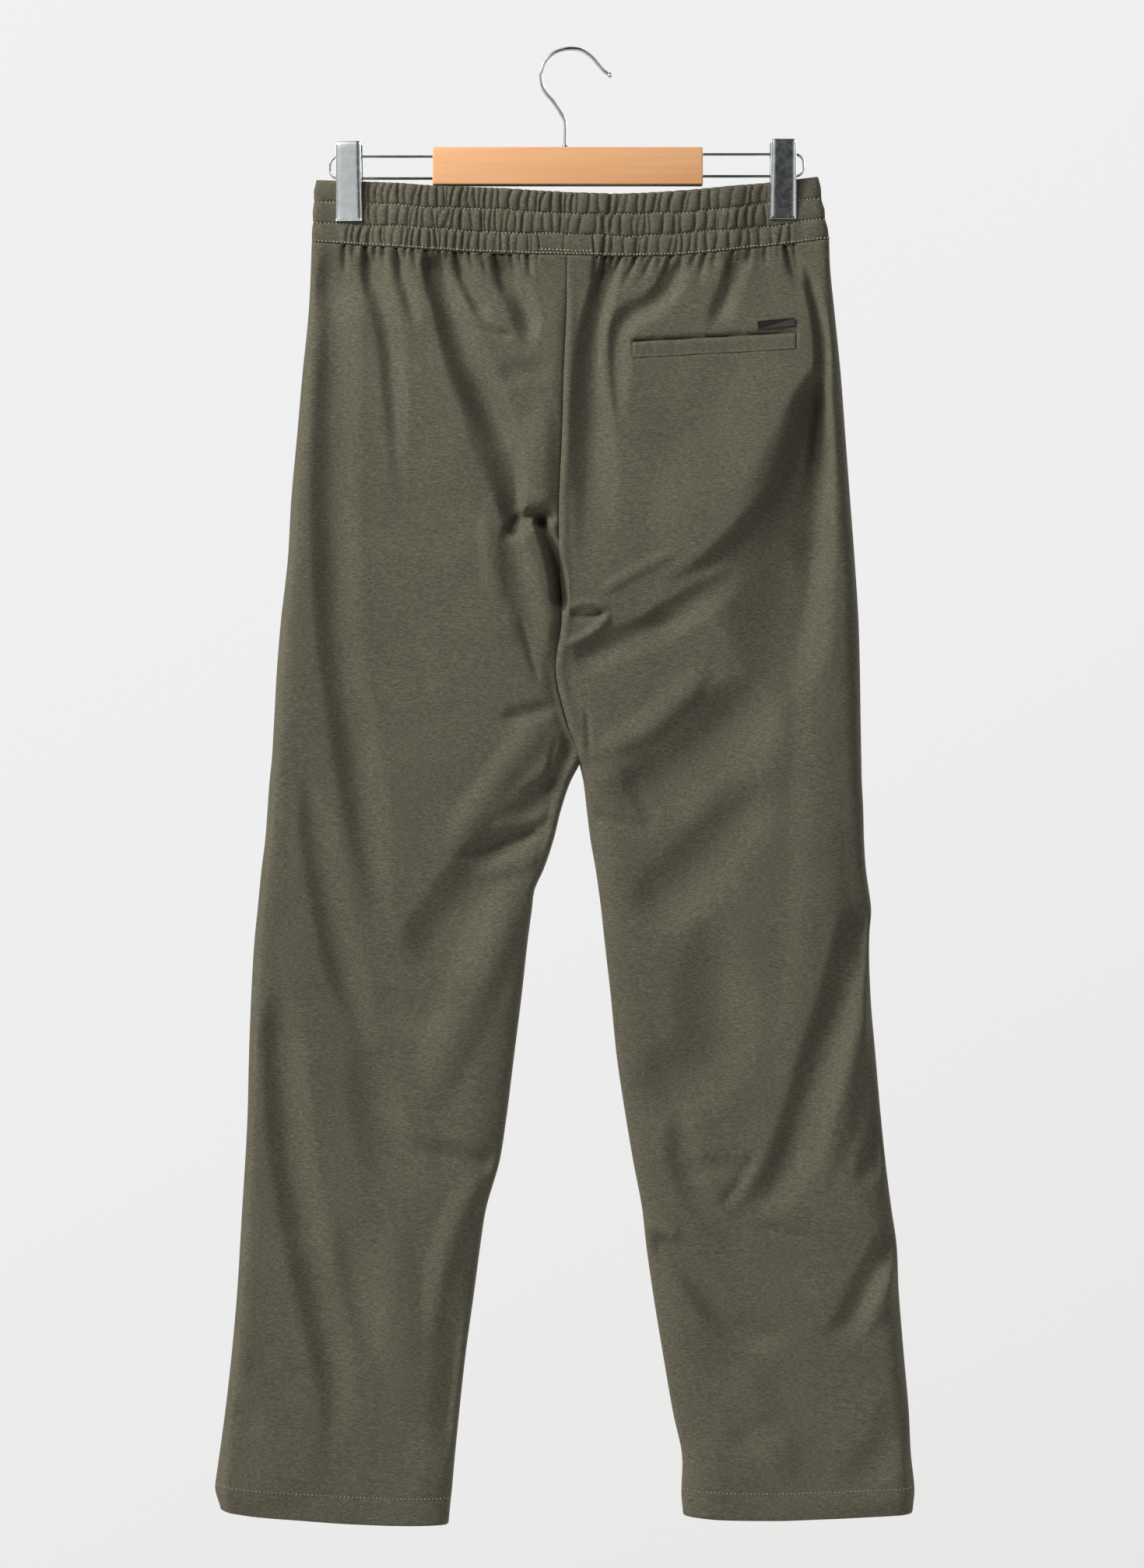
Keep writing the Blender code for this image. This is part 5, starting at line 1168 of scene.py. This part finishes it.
def makeJaw(name, end, face):
    rimTop = jaw["length"] - jaw["rimHeight"]
    downs = np.concatenate([np.linspace(0.0, rimTop, jaw["rows"]),
                            np.linspace(rimTop, jaw["length"], jaw["rimRows"] + 1)[1:]])
    stand = curveThrough(jaw["down"], jaw["stand"], downs)
    width = curveThrough(jaw["down"], jaw["width"], downs) * jaw["halfWidth"]
    half = np.array(jaw["across"])
    shares, insets = (np.concatenate([way * half[::-1, i], half[1:, i]]) for i, way in ((0, -1), (1, 1)))
    grid = np.zeros((len(downs), len(shares), 3))
    for i, down in enumerate(downs):
        # the lower edge is rolled like the sides
        toEnd = (jaw["length"] - down) / jaw["halfWidth"]
        endInset = np.interp(1.0 - toEnd, half[:, 0], half[:, 1]) if toEnd < 0.2 else half[0, 1]
        inset = np.where((np.abs(shares) < 0.88) & (toEnd < 0.2), endInset, insets)
        inset = np.maximum(inset, endInset if toEnd < 0.035 else 0.0)
        # the ears reach in between the wires
        inset[[0, -1]] += jaw["ear"] * within(down, *jaw["earSpan"], jaw["earBlend"])
        grid[i] = np.stack([shares * width[i], inset - stand[i], np.full_like(shares, -down)], axis=-1)
    bm = clothGrid(grid / mm)
    turnRound(bm, sum(f.normal.y for f in bm.faces) > 0.0)
    # the wall goes in from the bright outer face
    bmesh.ops.solidify(bm, geom=bm.faces[:], thickness=jaw["sheet"])
    turnRound(bm, bm.calc_volume(signed=True) < 0.0)
    # each clip sits a little askew on its wires
    bmesh.ops.transform(bm, matrix=Matrix.Rotation(math.radians(end["turn"]), 4, "Z"), verts=bm.verts[:])
    if face > 0:
        bmesh.ops.scale(bm, vec=(1.0, -1.0, 1.0), verts=bm.verts[:])
    turnRound(bm, face > 0)
    bmesh.ops.translate(bm, vec=(end["middle"], 0.0, end["top"]), verts=bm.verts[:])
    label = "Outer" if face < 0 else "Inner"
    finishPiece(f"clip{name}{label}Jaw", bm, clipChrome,
                (f"clip_{name.lower()}_{label.lower()}_jaw",), smoothAngle=35)


spring = {"turns": 7, "turnSteps": 18, "halfLength": 0.0064, "radius": 0.0029, "wire": 0.0005, "down": 0.0190,
          "pinHalf": 0.0084, "pinRadius": 0.0013, "pinRound": 0.0003}


def makeSpring(name, end):
    # a coil of spring wire round its pin, between the jaws' ears
    middle = Vector((end["middle"], 0.0, end["top"] - spring["down"]))
    points = []
    for t in np.linspace(0.0, 1.0, spring["turns"] * spring["turnSteps"] + 1):
        angle = t * spring["turns"] * 2 * math.pi
        points.append((middle.x + (2 * t - 1) * spring["halfLength"], spring["radius"] * math.cos(angle),
                       middle.z + spring["radius"] * math.sin(angle)))
    wirePiece(f"clip{name}Spring", points, spring["wire"], f"clip_{name.lower()}_spring")
    pin = bmesh.new()
    bmesh.ops.create_cone(pin, cap_ends=True, segments=20, radius1=spring["pinRadius"],
                          radius2=spring["pinRadius"], depth=2 * spring["pinHalf"],
                          matrix=Matrix.Translation(middle) @ Matrix.Rotation(math.pi / 2, 4, "Y"))
    roundEdges(pin, [e for e in pin.edges if e.calc_face_angle(0.0) > 1.0], spring["pinRound"], 2)
    finishPiece(f"clip{name}Pin", pin, chrome)


makeHook()
makeFerrule()
makeBar()
for endName, end in hangerEnds.items():
    makeLoop(endName, end)
    makeJaw(endName, end, -1)
    makeJaw(endName, end, 1)
    makeSpring(endName, end)
print("hanger made")
# ---- floor, lights, sky and camera
def makeFloor():
    # pale painted floor, below and behind everything
    made, tree, place = newMaterial("palePaintedFloor")
    mottle = addNode(tree, "TexNoise", {"Vector": place, "Scale": 3.0, "Detail": 3.0})
    tone = addNode(tree, "ValToRGB", {"Fac": mottle.outputs["Fac"]}, stops=((0.3, "dcdcdb"), (0.7, "e6e6e5")))
    shader = addNode(tree, "BsdfPrincipled", {"Base Color": tone.outputs["Color"], "Roughness": 0.7})
    addNode(tree, "OutputMaterial", {"Surface": shader.outputs[0]})
    bm = bmesh.new()
    bmesh.ops.create_circle(bm, cap_ends=True, segments=96, radius=1.6,
                            matrix=Matrix.Translation((0.0, 0.0, -1.55)))
    mesh = bpy.data.meshes.new("paleFloor")
    bm.to_mesh(mesh)
    bm.free()
    mesh.materials.append(made)
    inScene("paleFloor", mesh)


lights = (
    # name, place, target, width, height, watts, colour
    ("farWindow", (-3.9, -2.1, 2.3), (0.0, 0.0, -0.50), 1.4, 1.4, 208.0, "fffdf8"),
    ("nearSoftbox", (-0.95, -1.15, 0.8), (0.0, 0.0, -0.25), 0.6, 0.6, 15.0, "fffefb"),
    ("rightFill", (1.9, -1.9, -0.3), (0.0, 0.0, -0.6), 1.4, 1.8, 4.0, "f6f8ff"),
    ("behindLeft", (-1.6, 1.8, 0.2), (0.0, 0.0, -0.55), 1.2, 1.2, 6.0, "ffffff"),
    ("behindRight", (2.9, 2.0, 1.1), (0.0, 0.0, -0.55), 1.6, 1.6, 75.0, "ffffff"),
)


def makeLights():
    for name, place, target, width, height, watts, tone in lights:
        light = bpy.data.lights.new(name, "AREA")
        light.shape = "RECTANGLE"
        light.size, light.size_y = width, height
        light.energy = watts
        light.color = hexColour(tone)[:3]
        lamp = inScene(name, light)
        lamp.location = place
        lamp.rotation_euler = (Vector(target) - Vector(place)).to_track_quat("-Z", "Y").to_euler()


def makeSky():
    # a pale room: the eye sees a grey white wall with painted light falloff, and light comes mostly from above
    # and from the left
    world = bpy.data.worlds.new("paleRoom")
    bpy.context.scene.world = world
    world.use_nodes = True
    tree = world.node_tree
    tree.nodes.clear()
    way = addNode(tree, "TexCoord").outputs["Generated"]
    split = addNode(tree, "SeparateXYZ", {0: way})
    height = addNode(tree, "MapRange", {"Value": split.outputs["Z"], "From Min": -0.8, "From Max": 0.9,
                                        "To Min": 0.06, "To Max": 0.20})
    room = addNode(tree, "Background", {"Color": hexColour("f7f9fc"), "Strength": height.outputs[0]})
    # what metal mirrors: a bright wall on the left, and the dark studio on the right and ahead
    across = addNode(tree, "MapRange", {"Value": split.outputs["X"], "From Min": -0.5, "From Max": 0.5})
    wall = addNode(tree, "ValToRGB", {"Fac": across.outputs[0]},
                   stops=((0.0, 0.78), (0.38, 0.68), (0.46, 0.06), (0.74, 0.02), (0.90, 0.4), (1.0, 0.7)))
    mirrored = addNode(tree, "Background", {"Color": wall.outputs["Color"], "Strength": 1.0})
    # what the eye sees of the wall: painted light falloff, lightest on the left towards the light, a little
    # greyer on the right and below
    leftUp = addNode(tree, "Math", {0: split.outputs["X"], 1: -0.55}, operation="MULTIPLY")
    leftUp = addNode(tree, "Math", {0: leftUp.outputs[0], 1: split.outputs["Z"]}, operation="ADD")
    leftUp = addNode(tree, "MapRange", {"Value": leftUp.outputs[0], "From Min": -0.26, "From Max": 0.26})
    paintedWallFalloff = addNode(tree, "ValToRGB", {"Fac": leftUp.outputs[0]},
                    stops=((0.0, "e7e7e6"), (0.5, "eeeeee"), (1.0, "f1f1f2")))
    seen = addNode(tree, "Background", {"Color": paintedWallFalloff.outputs["Color"], "Strength": 1.0})
    rays = addNode(tree, "LightPath")
    lit = addNode(tree, "MixShader", {0: rays.outputs["Is Glossy Ray"], 1: room.outputs[0],
                                      2: mirrored.outputs[0]})
    both = addNode(tree, "MixShader", {0: rays.outputs["Is Camera Ray"], 1: lit.outputs[0],
                                       2: seen.outputs[0]})
    addNode(tree, "OutputWorld", {"Surface": both.outputs[0]})


def makeCamera():
    # the photograph's view: square on, with this height in the frame at the cloth
    frameHeight, distance, clothPlane, sensor = 1.2084, 3.2, -0.013, 36.0
    camera = bpy.data.cameras.new("camera")
    camera.sensor_fit = "VERTICAL"
    camera.sensor_height = sensor
    camera.lens = sensor * distance / frameHeight
    camera.clip_end = 30.0
    holder = inScene("camera", camera)
    holder.location = (0.0006, clothPlane - distance, -0.5676)
    holder.rotation_euler = (math.pi / 2, 0.0, 0.0)
    bpy.context.scene.camera = holder


makeFloor()
makeLights()
makeSky()
makeCamera()
bpy.context.scene.view_settings.view_transform = "Standard"
print("stage made")
